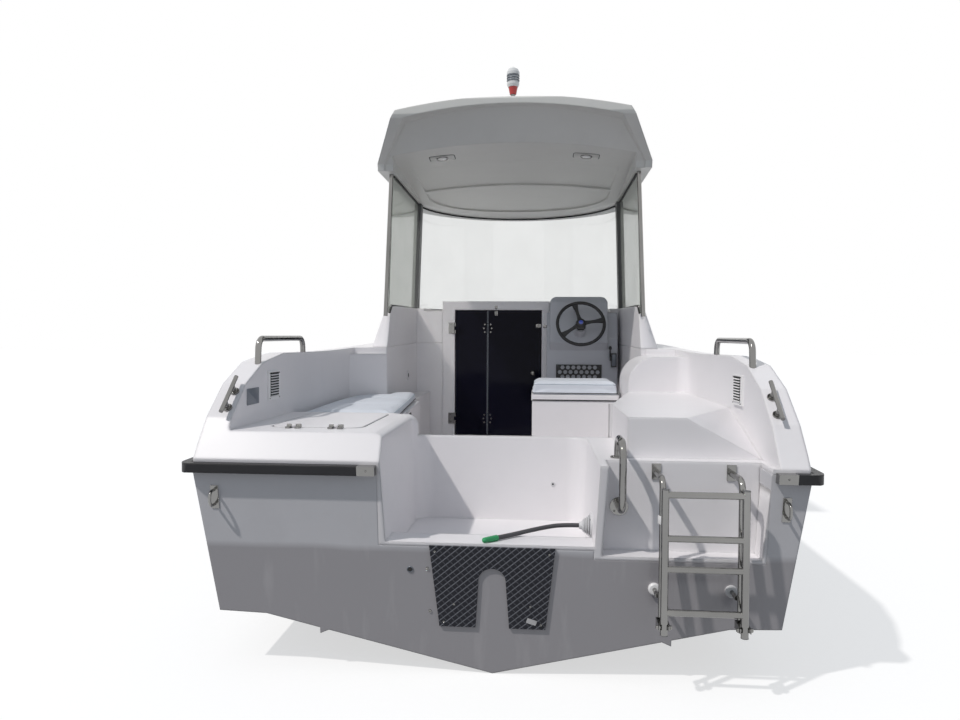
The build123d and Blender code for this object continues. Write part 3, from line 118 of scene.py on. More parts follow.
FINISHES: dict[str, Finish] = {
    "gelcoat_white": Finish(
        (0.80, 0.78, 0.795), 0.40, coat=0.1, mottle=0.02, soil=0.08, grain=0.012, grain_scale=120.0,
        edge=0.015,
    ),
    # Painted shade: roof_white is the white gelcoat made darker and a little olive, for the roof's
    # shaded underside.
    "roof_white": Finish(
        (0.70, 0.70, 0.675), 0.40, coat=0.1, mottle=0.03, soil=0.08, grain=0.015, grain_scale=110.0,
        edge=0.010,
    ),
    "console_grey": Finish(
        (0.52, 0.53, 0.57), 0.42, coat=0.1, mottle=0.04, soil=0.05, grain=0.03, grain_scale=220.0,
        edge=0.010,
    ),
    "black_frame": Finish((0.09, 0.092, 0.095), 0.45, mottle=0.1, wear=0.3),
    "stainless": Finish(
        (0.28, 0.277, 0.27), 0.12, metallic=1.0, mottle=0.16, grain=0.004, grain_scale=900.0,
        soil=0.2, edge=0.002,
    ),
    "rail_charcoal": Finish(
        (0.010, 0.010, 0.013), 0.40, mottle=0.2, grain=0.06, grain_scale=500.0, soil=0.05, wear=0.4,
        edge=0.009, specular=0.25,
    ),
    "smoked_black": Finish((0.006, 0.006, 0.014), 0.06, mottle=0.15, grain=0.0, specular=0.07),
    "black_plastic": Finish(
        (0.010, 0.010, 0.012), 0.42, mottle=0.15, grain=0.08, grain_scale=700.0, wear=0.4
    ),
    "lamp_clear": Finish((0.75, 0.76, 0.76), 0.12, coat=0.4, mottle=0.02, grain=0.0),
    "lamp_red": Finish((0.50, 0.012, 0.01), 0.15, coat=0.4, mottle=0.02, grain=0.0),
    "cable_grey": Finish(
        (0.055, 0.055, 0.06), 0.5, mottle=0.15, grain=0.1, grain_scale=600.0, soil=0.3
    ),
    "tape_green": Finish((0.02, 0.36, 0.12), 0.38, mottle=0.12, grain=0.15, grain_scale=300.0),
    "roller_black": Finish((0.015, 0.015, 0.015), 0.6, mottle=0.15, grain=0.1, grain_scale=300.0),
    "boot_white": Finish(
        (0.62, 0.62, 0.63), 0.45, mottle=0.05, grain=0.04, grain_scale=300.0, soil=0.25
    ),
    "gasket_black": Finish((0.008, 0.008, 0.009), 0.62, mottle=0.15, grain=0.08, grain_scale=600.0),
    "label_bare": Finish(
        (0.36, 0.36, 0.37), 0.34, metallic=0.7, mottle=0.1, grain=0.03, grain_scale=500.0
    ),
    "cap_blue": Finish((0.05, 0.10, 0.62), 0.18, coat=0.5, mottle=0.08, grain=0.0),
    "vent_white": Finish((0.84, 0.83, 0.83), 0.38, mottle=0.03, grain=0.02, grain_scale=300.0),
    "slate_plate": Finish(
        (0.16, 0.18, 0.21), 0.3, coat=0.2, mottle=0.08, grain=0.02, grain_scale=300.0
    ),
    "thread_pale": Finish((0.50, 0.56, 0.62), 0.6, mottle=0.08, grain=0.1, grain_scale=900.0),
    # hole_dark paints shade: dark sheets set in openings (vents, outlet, drains, keyhole) stand for
    # the shade inside them.
    "hole_dark": Finish((0.006, 0.006, 0.007), 0.7, mottle=0.1, grain=0.05, grain_scale=300.0),
}


class NodeTree:
    """Small helper that adds and links nodes."""

    def __init__(self, tree: bpy.types.NodeTree) -> None:
        """Keeps the tree that the nodes go into."""
        self.tree = tree

    def add(self, kind: str, **values: object) -> bpy.types.Node:
        """Adds a node.

        Args:
            kind: The node's type name.
            **values: Attributes of the node.

        Returns:
            The new node.
        """
        node = self.tree.nodes.new(kind)
        for name, value in values.items():
            setattr(node, name, value)
        return node

    def link(self, source: bpy.types.NodeSocket, target: bpy.types.NodeSocket) -> None:
        """Links two sockets."""
        self.tree.links.new(source, target)

    def math(self, operation: str, first: object, second: object = None) -> bpy.types.NodeSocket:
        """Adds a math node.

        Args:
            operation: The operation's name.
            first: A socket or a number.
            second: A socket, a number or nothing.

        Returns:
            The result's socket.
        """
        node = self.add("ShaderNodeMath", operation=operation)
        for index, value in enumerate((first, second)):
            if value is None:
                continue
            if isinstance(value, (int, float)):
                node.inputs[index].default_value = float(value)
            else:
                self.link(value, node.inputs[index])
        return node.outputs[0]

    def ramp(
        self,
        value: bpy.types.NodeSocket,
        start: float,
        end: float,
        low: float = 0.0,
        high: float = 1.0,
    ) -> bpy.types.NodeSocket:
        """Adds a clamped map of one range onto another.

        Args:
            value: The socket that is read.
            start: Value that gives the low result.
            end: Value that gives the high result.
            low: Low result.
            high: High result.

        Returns:
            The result's socket.
        """
        node = self.add("ShaderNodeMapRange")
        for name, number in (
            ("From Min", start), ("From Max", end), ("To Min", low), ("To Max", high)
        ):
            node.inputs[name].default_value = number
        self.link(value, node.inputs["Value"])
        return node.outputs["Result"]

    def blend(
        self, factor: bpy.types.NodeSocket, first: object, second: object
    ) -> bpy.types.NodeSocket:
        """Adds a colour mix.

        Args:
            factor: Socket of the share of the second colour.
            first: A colour or a socket.
            second: A colour or a socket.

        Returns:
            The mixed colour's socket.
        """
        node = self.add("ShaderNodeMix", data_type="RGBA")
        self.link(factor, node.inputs[0])
        for index, value in ((6, first), (7, second)):
            if isinstance(value, tuple):
                node.inputs[index].default_value = (*value, 1.0)
            else:
                self.link(value, node.inputs[index])
        return node.outputs[2]


def make_surface_group() -> bpy.types.NodeTree:
    """Builds the shared group for mottling, soil, worn edges and fine grain.

    Returns:
        The group, which puts out a mottle value, a soil mask, a wear mask and a normal.
    """
    group = bpy.data.node_groups.new("surface_detail", "ShaderNodeTree")
    for name, kind in (
        ("Vector", "NodeSocketVector"),
        ("Mottle Scale", "NodeSocketFloat"),
        ("Grain Scale", "NodeSocketFloat"),
        ("Grain", "NodeSocketFloat"),
        ("Edge", "NodeSocketFloat"),
    ):
        group.interface.new_socket(name, in_out="INPUT", socket_type=kind)
    for name, kind in (
        ("Mottle", "NodeSocketFloat"),
        ("Soil", "NodeSocketFloat"),
        ("Wear", "NodeSocketFloat"),
        ("Normal", "NodeSocketVector"),
    ):
        group.interface.new_socket(name, in_out="OUTPUT", socket_type=kind)
    tree = NodeTree(group)
    source = tree.add("NodeGroupInput")
    target = tree.add("NodeGroupOutput")
    mottle = tree.add("ShaderNodeTexNoise")
    mottle.inputs["Detail"].default_value = 5.0
    soft = tree.add("ShaderNodeBevel", samples=4)
    tree.link(source.outputs["Edge"], soft.inputs["Radius"])
    tree.link(source.outputs["Vector"], mottle.inputs["Vector"])
    tree.link(source.outputs["Mottle Scale"], mottle.inputs["Scale"])
    soil = tree.add("ShaderNodeTexNoise")
    soil.inputs["Scale"].default_value = 7.0
    soil.inputs["Detail"].default_value = 9.0
    soil.inputs["Roughness"].default_value = 0.64
    tree.link(source.outputs["Vector"], soil.inputs["Vector"])
    grain = tree.add("ShaderNodeTexNoise")
    grain.inputs["Detail"].default_value = 3.0
    tree.link(source.outputs["Vector"], grain.inputs["Vector"])
    tree.link(source.outputs["Grain Scale"], grain.inputs["Scale"])
    bump = tree.add("ShaderNodeBump")
    bump.inputs["Distance"].default_value = 0.004
    tree.link(source.outputs["Grain"], bump.inputs["Strength"])
    tree.link(grain.outputs["Fac"], bump.inputs["Height"])
    tree.link(soft.outputs["Normal"], bump.inputs["Normal"])
    edge = tree.add("ShaderNodeNewGeometry")
    rubbed = tree.ramp(edge.outputs["Pointiness"], 0.53, 0.62)
    tree.link(tree.math("MULTIPLY", rubbed, soil.outputs["Fac"]), target.inputs["Wear"])
    tree.link(mottle.outputs["Fac"], target.inputs["Mottle"])
    tree.link(tree.ramp(soil.outputs["Fac"], 0.5, 0.78), target.inputs["Soil"])
    tree.link(bump.outputs["Normal"], target.inputs["Normal"])
    return group


class MaterialMaker:
    """Builds the materials, which share the surface group."""

    def __init__(self) -> None:
        """Builds the shared group once."""
        self.surface = make_surface_group()

    def plain(
        self, name: str, finish: Finish
    ) -> tuple[bpy.types.Material, NodeTree, bpy.types.Node]:
        """Builds a material from a finish.

        Args:
            name: The material's name.
            finish: Its numbers.

        Returns:
            The material, its tree and its Principled node.
        """
        material = bpy.data.materials.new(name)
        material.use_nodes = True
        tree = NodeTree(material.node_tree)
        shader = material.node_tree.nodes["Principled BSDF"]
        shader.inputs["Metallic"].default_value = finish.metallic
        shader.inputs["Coat Weight"].default_value = finish.coat
        shader.inputs["Coat Roughness"].default_value = COAT_ROUGHNESS
        shader.inputs["Specular IOR Level"].default_value = finish.specular
        place = tree.add("ShaderNodeTexCoord")
        detail = tree.add("ShaderNodeGroup")
        detail.node_tree = self.surface
        tree.link(place.outputs["Object"], detail.inputs["Vector"])
        detail.inputs["Mottle Scale"].default_value = finish.mottle_scale
        detail.inputs["Grain Scale"].default_value = finish.grain_scale
        detail.inputs["Grain"].default_value = finish.grain * GRAIN_GAIN
        detail.inputs["Edge"].default_value = finish.edge
        darker = tuple(max(0.0, c * (1.0 - finish.mottle * 2.5)) for c in finish.colour)
        lighter = tuple(min(1.0, c * (1.0 + finish.mottle)) for c in finish.colour)
        base = tree.blend(detail.outputs["Mottle"], darker, lighter)
        soiled = tuple(c * 0.62 for c in finish.colour)
        base = tree.blend(tree.math("MULTIPLY", detail.outputs["Soil"], finish.soil), base, soiled)
        worn = tuple(min(1.0, c * 1.6 + 0.06) for c in finish.colour)
        base = tree.blend(tree.math("MULTIPLY", detail.outputs["Wear"], finish.wear), base, worn)
        tree.link(base, shader.inputs["Base Color"])
        rough = tree.math(
            "ADD", tree.math("MULTIPLY", detail.outputs["Mottle"], 0.12), finish.roughness - 0.06
        )
        tree.link(rough, shader.inputs["Roughness"])
        tree.link(detail.outputs["Normal"], shader.inputs["Normal"])
        return material, tree, shader

    def hull(self) -> bpy.types.Material:
        """Builds the grey gelcoat, with painted shade that darkens it below a soft line near z
        0.24, and faint run marks.

        Returns:
            The material.
        """
        finish = Finish(
            (0.60, 0.595, 0.62), 0.30, coat=0.25, mottle=0.05, soil=0.14, grain=0.012,
            grain_scale=90.0, edge=0.008,
        )
        material, tree, shader = self.plain("gelcoat_grey", finish)
        place = tree.add("ShaderNodeTexCoord")
        split = tree.add("ShaderNodeSeparateXYZ")
        tree.link(place.outputs["Object"], split.inputs[0])
        wander = tree.add("ShaderNodeTexNoise")
        wander.inputs["Scale"].default_value = 2.5
        tree.link(place.outputs["Object"], wander.inputs["Vector"])
        height = tree.math(
            "ADD", split.outputs["Z"], tree.math("MULTIPLY", wander.outputs["Fac"], 0.03)
        )
        # Painted shade: below a wavering line near z 0.24 the grey turns darker.
        lower = tree.ramp(height, 0.240, 0.214)
        base = shader.inputs["Base Color"].links[0].from_socket
        base = tree.blend(tree.math("MULTIPLY", lower, 0.85), base, (0.315, 0.30, 0.315))
        streak = tree.add("ShaderNodeTexNoise")
        streak.inputs["Scale"].default_value = 3.0
        streak.inputs["Detail"].default_value = 7.0
        stretch = tree.add("ShaderNodeMapping")
        stretch.inputs["Scale"].default_value = (6.0, 6.0, 0.5)
        tree.link(place.outputs["Object"], stretch.inputs["Vector"])
        tree.link(stretch.outputs["Vector"], streak.inputs["Vector"])
        marks = tree.math("MULTIPLY", tree.ramp(streak.outputs["Fac"], 0.58, 0.8), 0.3)
        base = tree.blend(marks, base, (0.60, 0.58, 0.59))
        tree.link(base, shader.inputs["Base Color"])
        return material

    def glass(self) -> bpy.types.Material:
        """Builds the window material, a little green, with a faint film of dust.

        Returns:
            The material.
        """
        material, tree, shader = self.plain(
            "clear_glass",
            Finish((0.81, 0.82, 0.815), 0.02, mottle=0.03, mottle_scale=3.0, grain=0.0),
        )
        shader.inputs["Transmission Weight"].default_value = 1.0
        shader.inputs["IOR"].default_value = 1.3
        self.let_light_through(tree, shader, 0.9)
        return material

    @staticmethod
    def let_light_through(tree: NodeTree, shader: bpy.types.Node, share: float) -> None:
        """Lets lamp light pass a pane, so that it casts only a thin shadow.

        Args:
            tree: The material's tree.
            shader: Its Principled node.
            share: Share of the light that passes.
        """
        path = tree.add("ShaderNodeLightPath")
        passed = tree.math("MULTIPLY", path.outputs["Is Shadow Ray"], share)
        tree.link(tree.math("SUBTRACT", 1.0, passed), shader.inputs["Alpha"])

    def side_glass(self) -> bpy.types.Material:
        """Builds the side windows' material: darker grey-green glass with patches, a painted
        reflection of the trees seen in the pane.

        Returns:
            The material.
        """
        # Painted reflection: the grey-green colour and its darker patches paint the trees seen in
        # the pane.
        finish = Finish((0.565, 0.59, 0.555), 0.06, mottle=0.06, mottle_scale=6.0, grain=0.0)
        material, tree, shader = self.plain("side_glass", finish)
        shader.inputs["Transmission Weight"].default_value = 0.72
        shader.inputs["IOR"].default_value = 1.3
        place = tree.add("ShaderNodeTexCoord")
        film = tree.add("ShaderNodeTexNoise")
        film.inputs["Scale"].default_value = 7.0
        film.inputs["Detail"].default_value = 9.0
        film.inputs["Roughness"].default_value = 0.75
        tree.link(place.outputs["Object"], film.inputs["Vector"])
        base = shader.inputs["Base Color"].links[0].from_socket
        # The patches of painted reflection.
        tree_reflection = tree.ramp(film.outputs["Fac"], 0.36, 0.68, 0.0, 0.34)
        tree.link(tree.blend(tree_reflection, base, (0.26, 0.29, 0.25)), shader.inputs["Base Color"])
        self.let_light_through(tree, shader, 0.8)
        return material

    def pad(self) -> bpy.types.Material:
        """Builds the motor pad's slate rubber with its slanting grooves.

        Returns:
            The material.
        """
        finish = Finish(
            (0.017, 0.018, 0.024), 0.55, mottle=0.12, grain=0.03, grain_scale=500.0, soil=0.05,
            edge=0.003, specular=0.2,
        )
        material, tree, shader = self.plain("pad_slate", finish)
        place = tree.add("ShaderNodeTexCoord")
        split = tree.add("ShaderNodeSeparateXYZ")
        tree.link(place.outputs["Object"], split.inputs[0])
        grooves = None
        for across, share in ((0.785, 1.0), (-0.62, 0.28)):
            slant = tree.math(
                "SUBTRACT",
                tree.math("MULTIPLY", split.outputs["X"], 0.66),
                tree.math("MULTIPLY", split.outputs["Z"], across),
            )
            wave = tree.math("FRACT", tree.math("MULTIPLY", slant, 54.0))
            line = tree.ramp(
                tree.math("ABSOLUTE", tree.math("SUBTRACT", wave, 0.5)), 0.06, 0.13, share, 0.0
            )
            grooves = line if grooves is None else tree.math("MAXIMUM", grooves, line)
        base = shader.inputs["Base Color"].links[0].from_socket
        tree.link(tree.blend(grooves, base, (0.19, 0.195, 0.22)), shader.inputs["Base Color"])
        bump = tree.add("ShaderNodeBump", invert=True)
        bump.inputs["Distance"].default_value = 0.002
        bump.inputs["Strength"].default_value = 0.8
        tree.link(grooves, bump.inputs["Height"])
        tree.link(shader.inputs["Normal"].links[0].from_socket, bump.inputs["Normal"])
        tree.link(bump.outputs["Normal"], shader.inputs["Normal"])
        return material

    def cushion(self) -> bpy.types.Material:
        """Builds the coated cushion cloth with its leather-like grain.

        Returns:
            The material.
        """
        finish = Finish(
            (0.68, 0.71, 0.77), 0.5, mottle=0.04, grain=0.05, grain_scale=260.0, soil=0.08
        )
        material, tree, shader = self.plain("cushion_blue_grey", finish)
        shader.inputs["Sheen Weight"].default_value = 0.15
        place = tree.add("ShaderNodeTexCoord")
        cells = tree.add("ShaderNodeTexVoronoi")
        cells.inputs["Scale"].default_value = 420.0
        tree.link(place.outputs["Object"], cells.inputs["Vector"])
        bump = tree.add("ShaderNodeBump")
        bump.inputs["Distance"].default_value = 0.0008
        bump.inputs["Strength"].default_value = 0.5
        tree.link(cells.outputs["Distance"], bump.inputs["Height"])
        tree.link(shader.inputs["Normal"].links[0].from_socket, bump.inputs["Normal"])
        tree.link(bump.outputs["Normal"], shader.inputs["Normal"])
        return material

    def build(self) -> dict[str, bpy.types.Material]:
        """Builds every material.

        Returns:
            The materials by name.
        """
        made = {name: self.plain(name, finish)[0] for name, finish in FINISHES.items()}
        made["gelcoat_grey"] = self.hull()
        made["clear_glass"] = self.glass()
        made["side_glass"] = self.side_glass()
        made["pad_slate"] = self.pad()
        made["cushion_blue_grey"] = self.cushion()
        return made


MATERIALS = MaterialMaker().build()


def add_object(name: str, data: bpy.types.ID) -> bpy.types.Object:
    """Makes an object of some data and links it to the scene.

    Args:
        name: The object's name.
        data: Its mesh, curve, camera or light.

    Returns:
        The object.
    """
    piece = bpy.data.objects.new(name, data)
    bpy.context.scene.collection.objects.link(piece)
    return piece


def sit(distance: float) -> float:
    """Turns a distance forward of the transom's top into the frame's Y."""
    return distance - ORIGIN_FROM_TRANSOM


def land(node: str, start: Point, heading: Point) -> tuple[Vector, Vector]:
    """Finds where a straight line from a point meets a CAD node.

    Args:
        node: The node's name.
        start: Where the line starts.
        heading: Which way it goes.

    Returns:
        The point where it lands, and the outward normal there.

    Raises:
        ValueError: If the line misses the node.
    """
    hit, place, normal, _ = frame["nodes"][node].ray_cast(
        Vector(start), Vector(heading).normalized()
    )
    if not hit:
        raise ValueError(f"nothing of {node} lies on the line from {start}")
    return place, normal


def plane_at(place: Vector, normal: Vector, up: Point = (0.0, 0.0, 1.0)) -> Matrix:
    """Builds the placing of a flat piece.

    Args:
        place: Its middle.
        normal: The way its face looks.
        up: The direction that its own Y follows.

    Returns:
        The matrix from the piece's own axes to the frame's.
    """
    z_axis = normal.normalized()
    x_axis = Vector(up).cross(z_axis).normalized()
    y_axis = z_axis.cross(x_axis)
    turn = Matrix((x_axis, y_axis, z_axis)).transposed().to_4x4()
    return Matrix.Translation(place) @ turn


def rounded(points: Sequence[Flat], radius: float, steps: int = 6) -> list[Flat]:
    """Rounds the corners of a flat outline.

    Args:
        points: Its corners in order.
        radius: The corners' radius.
        steps: Points in each corner.

    Returns:
        The rounded outline's points.
    """
    result: list[Flat] = []
    count = len(points)
    for index in range(count):
        here = Vector(points[index])
        back = (Vector(points[index - 1]) - here).normalized()
        ahead = (Vector(points[(index + 1) % count]) - here).normalized()
        half = back.angle(ahead) / 2.0
        reach = radius / math.tan(half)
        start = here + back * reach
        end = here + ahead * reach
        for step in range(steps + 1):
            share = step / steps
            inside = start.lerp(here, share).lerp(here.lerp(end, share), share)
            result.append((inside.x, inside.y))
    return result


def rectangle(width: float, height: float) -> list[Flat]:
    """Returns the corners of a rectangle round the origin."""
    x = width / 2.0
    y = height / 2.0
    return [(-x, -y), (x, -y), (x, y), (-x, y)]


class MeshMaker:
    """Turns plain shapes into closed meshes that lie where they belong."""

    @staticmethod
    def keep(
        name: str, form: bmesh.types.BMesh, material: str, body: Body, sharp: float = 35.0
    ) -> bpy.types.Object:
        """Makes an object of a form and sets it on its body.

        Args:
            name: The object's name.
            form: The form, which is freed.
            material: Its material's name.
            body: The body that it rides on.
            sharp: Angle in degrees above which an edge stays sharp.

        Returns:
            The object.
        """
        bmesh.ops.remove_doubles(form, verts=form.verts, dist=1e-6)
        bmesh.ops.recalc_face_normals(form, faces=form.faces)
        limit = math.radians(sharp)
        for face in form.faces:
            face.smooth = True
        for edge in form.edges:
            edge.smooth = len(edge.link_faces) == 2 and edge.calc_face_angle(0.0) < limit
        mesh = bpy.data.meshes.new(name)
        form.to_mesh(mesh)
        form.free()
        mesh.materials.append(MATERIALS[material])
        piece = add_object(name, mesh)
        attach(piece, body.value)
        LOG.info("made %s on %s", name, body.value)
        return piece

    @staticmethod
    def turned(
        name: str,
        profile: Sequence[Flat],
        place: Matrix,
        sides: int,
        material: str,
        body: Body,
        sharp: float = 35.0,
    ) -> bpy.types.Object:
        """Makes an object of one turned profile.

        Args:
            name: The object's name.
            profile: Radius and height of each ring.
            place: Where it goes.
            sides: Number of sides.
            material: Its material's name.
            body: The body that it rides on.
            sharp: Angle in degrees above which an edge stays sharp.

        Returns:
            The object.
        """
        form = bmesh.new()
        MeshMaker.lathe(form, profile, place, sides)
        return MeshMaker.keep(name, form, material, body, sharp)

    @staticmethod
    def slab(
        name: str,
        size: Flat,
        corner: float,
        span: tuple[float, float, float],
        place: Matrix,
        material: str,
        body: Body,
    ) -> bpy.types.Object:
        """Makes an object of one flat plate with round corners.

        Args:
            name: The object's name.
            size: Width and height.
            corner: Radius of its corners.
            span: Height of its back, height of its face, and bevel of the face's edge.
            place: Where it goes.
            material: Its material's name.
            body: The body that it rides on.

        Returns:
            The object.
        """
        low, high, edge = span
        form = bmesh.new()
        MeshMaker.plate(form, rounded(rectangle(*size), corner), low, high, place, edge)
        return MeshMaker.keep(name, form, material, body)

    @staticmethod
    def lathe(
        form: bmesh.types.BMesh, profile: Sequence[Flat], place: Matrix, sides: int = 32
    ) -> None:
        """Turns a profile of (radius, height) about its own Z.

        Args:
            form: The form that it is added to.
            profile: Radius and height of each ring.
            place: Where it goes.
            sides: Number of sides.
        """
        rings: list[list[bmesh.types.BMVert]] = []
        for radius, height in profile:
            if radius < 1e-6:
                rings.append([form.verts.new(place @ Vector((0.0, 0.0, height)))])
                continue
            ring = []
            for side in range(sides):
                angle = math.tau * side / sides
                ring.append(
                    form.verts.new(
                        place @ Vector((radius * math.cos(angle), radius * math.sin(angle), height))
                    )
                )
            rings.append(ring)
        for lower, upper in zip(rings, rings[1:]):
            MeshMaker.join_rings(form, lower, upper)
        for ring in (rings[0], rings[-1]):
            if len(ring) > 1:
                form.faces.new(ring)

    @staticmethod
    def join_rings(
        form: bmesh.types.BMesh, lower: list[bmesh.types.BMVert], upper: list[bmesh.types.BMVert]
    ) -> None:
        """Joins two rings of corners with faces."""
        count = max(len(lower), len(upper))
        for side in range(count):
            after = (side + 1) % count
            corners = [
                lower[side % len(lower)],
                lower[after % len(lower)],
                upper[after % len(upper)],
                upper[side % len(upper)],
            ]
            kept = list(dict.fromkeys(corners))
            if len(kept) > 2:
                form.faces.new(kept)

    @staticmethod
    def plate(
        form: bmesh.types.BMesh,
        outline: Sequence[Flat],
        low: float,
        high: float,
        place: Matrix,
        edge: float = 0.0,
    ) -> None:
        """Adds a flat plate with a bevelled upper edge.

        Args:
            form: The form that it is added to.
            outline: Its outline.
            low: Height of its back.
            high: Height of its face.
            place: Where it goes.
            edge: Width of the bevel.
        """
        middle = Vector((sum(x for x, _ in outline), sum(y for _, y in outline))) / len(outline)
        steps = [
            (0.0, low), (0.0, high - edge), (edge * 0.3, high - edge * 0.3), (edge, high)
        ] if edge > 0.0 else [(0.0, low), (0.0, high)]
        rings = []
        for inset, height in steps:
            ring = []
            for x, y in outline:
                arm = Vector((x, y)) - middle
                point = middle + arm * max(0.0, 1.0 - inset / max(arm.length, 1e-6))
                ring.append(form.verts.new(place @ Vector((point.x, point.y, height))))
            rings.append(ring)
        for lower, upper in zip(rings, rings[1:]):
            MeshMaker.join_rings(form, lower, upper)
        form.faces.new(rings[0])
        form.faces.new(rings[-1])

    @staticmethod
    def tube(
        form: bmesh.types.BMesh,
        points: Sequence[Vector],
        radius: float,
        sides: int = 10,
        closed: bool = False,
    ) -> None:
        """Adds a round bead along a line of points.

        Args:
            form: The form that it is added to.
            points: The line's points.
            radius: The bead's radius.
            sides: Number of sides.
            closed: True where the line is a loop.
        """
        count = len(points)
        rings = []
        side_way = None
        for index in range(count):
            before = points[index - 1] if index > 0 or closed else points[0]
            after = points[(index + 1) % count] if index < count - 1 or closed else points[-1]
            along = (after - before).normalized()
            if side_way is None:
                side_way = along.orthogonal().normalized()
            side_way = (side_way - along * side_way.dot(along)).normalized()
            other = along.cross(side_way)
            ring = []
            for side in range(sides):
                angle = math.tau * side / sides
                ring.append(
                    form.verts.new(
                        points[index]
                        + radius * (side_way * math.cos(angle) + other * math.sin(angle))
                    )
                )
            rings.append(ring)
        for lower, upper in zip(rings, rings[1:]):
            MeshMaker.join_rings(form, lower, upper)
        if closed:
            shift = min(range(sides), key=lambda step: (rings[0][step].co - rings[-1][0].co).length)
            MeshMaker.join_rings(form, rings[-1], rings[0][shift:] + rings[0][:shift])
        else:
            form.faces.new(rings[0])
            form.faces.new(rings[-1])


class RepeatMaker:
    """Builds the Geometry Nodes trees for what repeats, and keeps their results as meshes."""

    def __init__(self) -> None:
        """Builds the two trees once."""
        self.screws = self.screw_tree()
        self.blades = self.blade_tree()

    @staticmethod
    def start_tree(
        name: str, sizes: Sequence[tuple[str, str]]
    ) -> tuple[NodeTree, bpy.types.Node, bpy.types.Node]:
        """Starts a tree with named inputs.

        Args:
            name: The tree's name.
            sizes: Name and socket type of each input.

        Returns:
            The tree, its input node and its output node.
        """
        group = bpy.data.node_groups.new(name, "GeometryNodeTree")
        group.interface.new_socket("Geometry", in_out="INPUT", socket_type="NodeSocketGeometry")
        for label, kind in sizes:
            group.interface.new_socket(label, in_out="INPUT", socket_type=kind)
        group.interface.new_socket("Geometry", in_out="OUTPUT", socket_type="NodeSocketGeometry")
        tree = NodeTree(group)
        return tree, tree.add("NodeGroupInput"), tree.add("NodeGroupOutput")

    @staticmethod
    def finish_tree(
        tree: NodeTree,
        places: bpy.types.Node,
        shape: bpy.types.NodeSocket,
        source: bpy.types.Node,
        target: bpy.types.Node,
    ) -> None:
        """Ends a tree: instances, realised, with their material.

        Args:
            tree: The tree.
            places: The instancing node.
            shape: Geometry of one instance.
            source: The tree's input node.
            target: The tree's output node.
        """
        tree.link(shape, places.inputs["Instance"])
        real = tree.add("GeometryNodeRealizeInstances")
        dress = tree.add("GeometryNodeSetMaterial")
        tree.link(places.outputs["Instances"], real.inputs["Geometry"])
        tree.link(real.outputs["Geometry"], dress.inputs["Geometry"])
        tree.link(source.outputs["Finish"], dress.inputs["Material"])
        tree.link(dress.outputs["Geometry"], target.inputs["Geometry"])

    def screw_tree(self) -> bpy.types.NodeTree:
        """Builds the tree that sets a socket-headed screw on every point, facing its normal.

        Returns:
            The node group.
        """
        tree, source, target = self.start_tree(
            "screw_field",
            (
                ("Radius", "NodeSocketFloat"),
                ("Height", "NodeSocketFloat"),
                ("Finish", "NodeSocketMaterial"),
            ),
        )
        join = tree.add("GeometryNodeJoinGeometry")
        for wide, narrow, low, high, fill in (
            (1.0, 0.8, -0.6, 1.0, "NONE"),
            (0.46, 0.8, 1.0, 1.0, "NONE"),
            (0.4, 0.46, 0.3, 1.0, "NONE"),
            (0.4, 0.0, 0.3, 0.3, "NONE"),
        ):
            cone = tree.add("GeometryNodeMeshCone", fill_type=fill)
            cone.inputs["Vertices"].default_value = 12
            tree.link(
                tree.math("MULTIPLY", source.outputs["Radius"], wide), cone.inputs["Radius Bottom"]
            )
            tree.link(
                tree.math("MULTIPLY", source.outputs["Radius"], narrow), cone.inputs["Radius Top"]
            )
            tree.link(
                tree.math("MULTIPLY", source.outputs["Height"], high - low), cone.inputs["Depth"]
            )
            move = tree.add("GeometryNodeTransform")
            lift = tree.add("ShaderNodeCombineXYZ")
            tree.link(tree.math("MULTIPLY", source.outputs["Height"], low), lift.inputs["Z"])
            tree.link(cone.outputs["Mesh"], move.inputs["Geometry"])
            tree.link(lift.outputs[0], move.inputs["Translation"])
            tree.link(move.outputs["Geometry"], join.inputs["Geometry"])
        merge = tree.add("GeometryNodeMergeByDistance")
        merge.inputs["Distance"].default_value = 1e-5
        tree.link(join.outputs["Geometry"], merge.inputs["Geometry"])
        facing = tree.add("GeometryNodeInputNamedAttribute", data_type="FLOAT_VECTOR")
        facing.inputs["Name"].default_value = "facing"
        turn = tree.add("FunctionNodeAlignRotationToVector", axis="Z")
        tree.link(facing.outputs["Attribute"], turn.inputs["Vector"])
        places = tree.add("GeometryNodeInstanceOnPoints")
        tree.link(source.outputs["Geometry"], places.inputs["Points"])
        tree.link(turn.outputs["Rotation"], places.inputs["Rotation"])
        self.finish_tree(tree, places, merge.outputs["Geometry"], source, target)
        return tree.tree

    def blade_tree(self) -> bpy.types.NodeTree:
        """Builds the tree that lines up slanted louvre blades or stitches.

        Returns:
            The node group.
        """
        tree, source, target = self.start_tree(
            "blade_row",
            (
                ("Size", "NodeSocketVector"),
                ("Tilt", "NodeSocketVector"),
                ("Finish", "NodeSocketMaterial"),
            ),
        )
        blade = tree.add("GeometryNodeMeshCube")
        tree.link(source.outputs["Size"], blade.inputs["Size"])
        facing = tree.add("GeometryNodeInputNamedAttribute", data_type="FLOAT_VECTOR")
        facing.inputs["Name"].default_value = "facing"
        turn = tree.add("FunctionNodeAlignRotationToVector", axis="X")
        tree.link(facing.outputs["Attribute"], turn.inputs["Vector"])
        places = tree.add("GeometryNodeInstanceOnPoints")
        tree.link(source.outputs["Geometry"], places.inputs["Points"])
        tilt = tree.add("FunctionNodeRotateRotation", rotation_space="LOCAL")
        euler = tree.add("FunctionNodeEulerToRotation")
        tree.link(source.outputs["Tilt"], euler.inputs[0])
        tree.link(turn.outputs["Rotation"], tilt.inputs[0])
        tree.link(euler.outputs[0], tilt.inputs[1])
        tree.link(tilt.outputs[0], places.inputs["Rotation"])
        self.finish_tree(tree, places, blade.outputs["Mesh"], source, target)
        return tree.tree

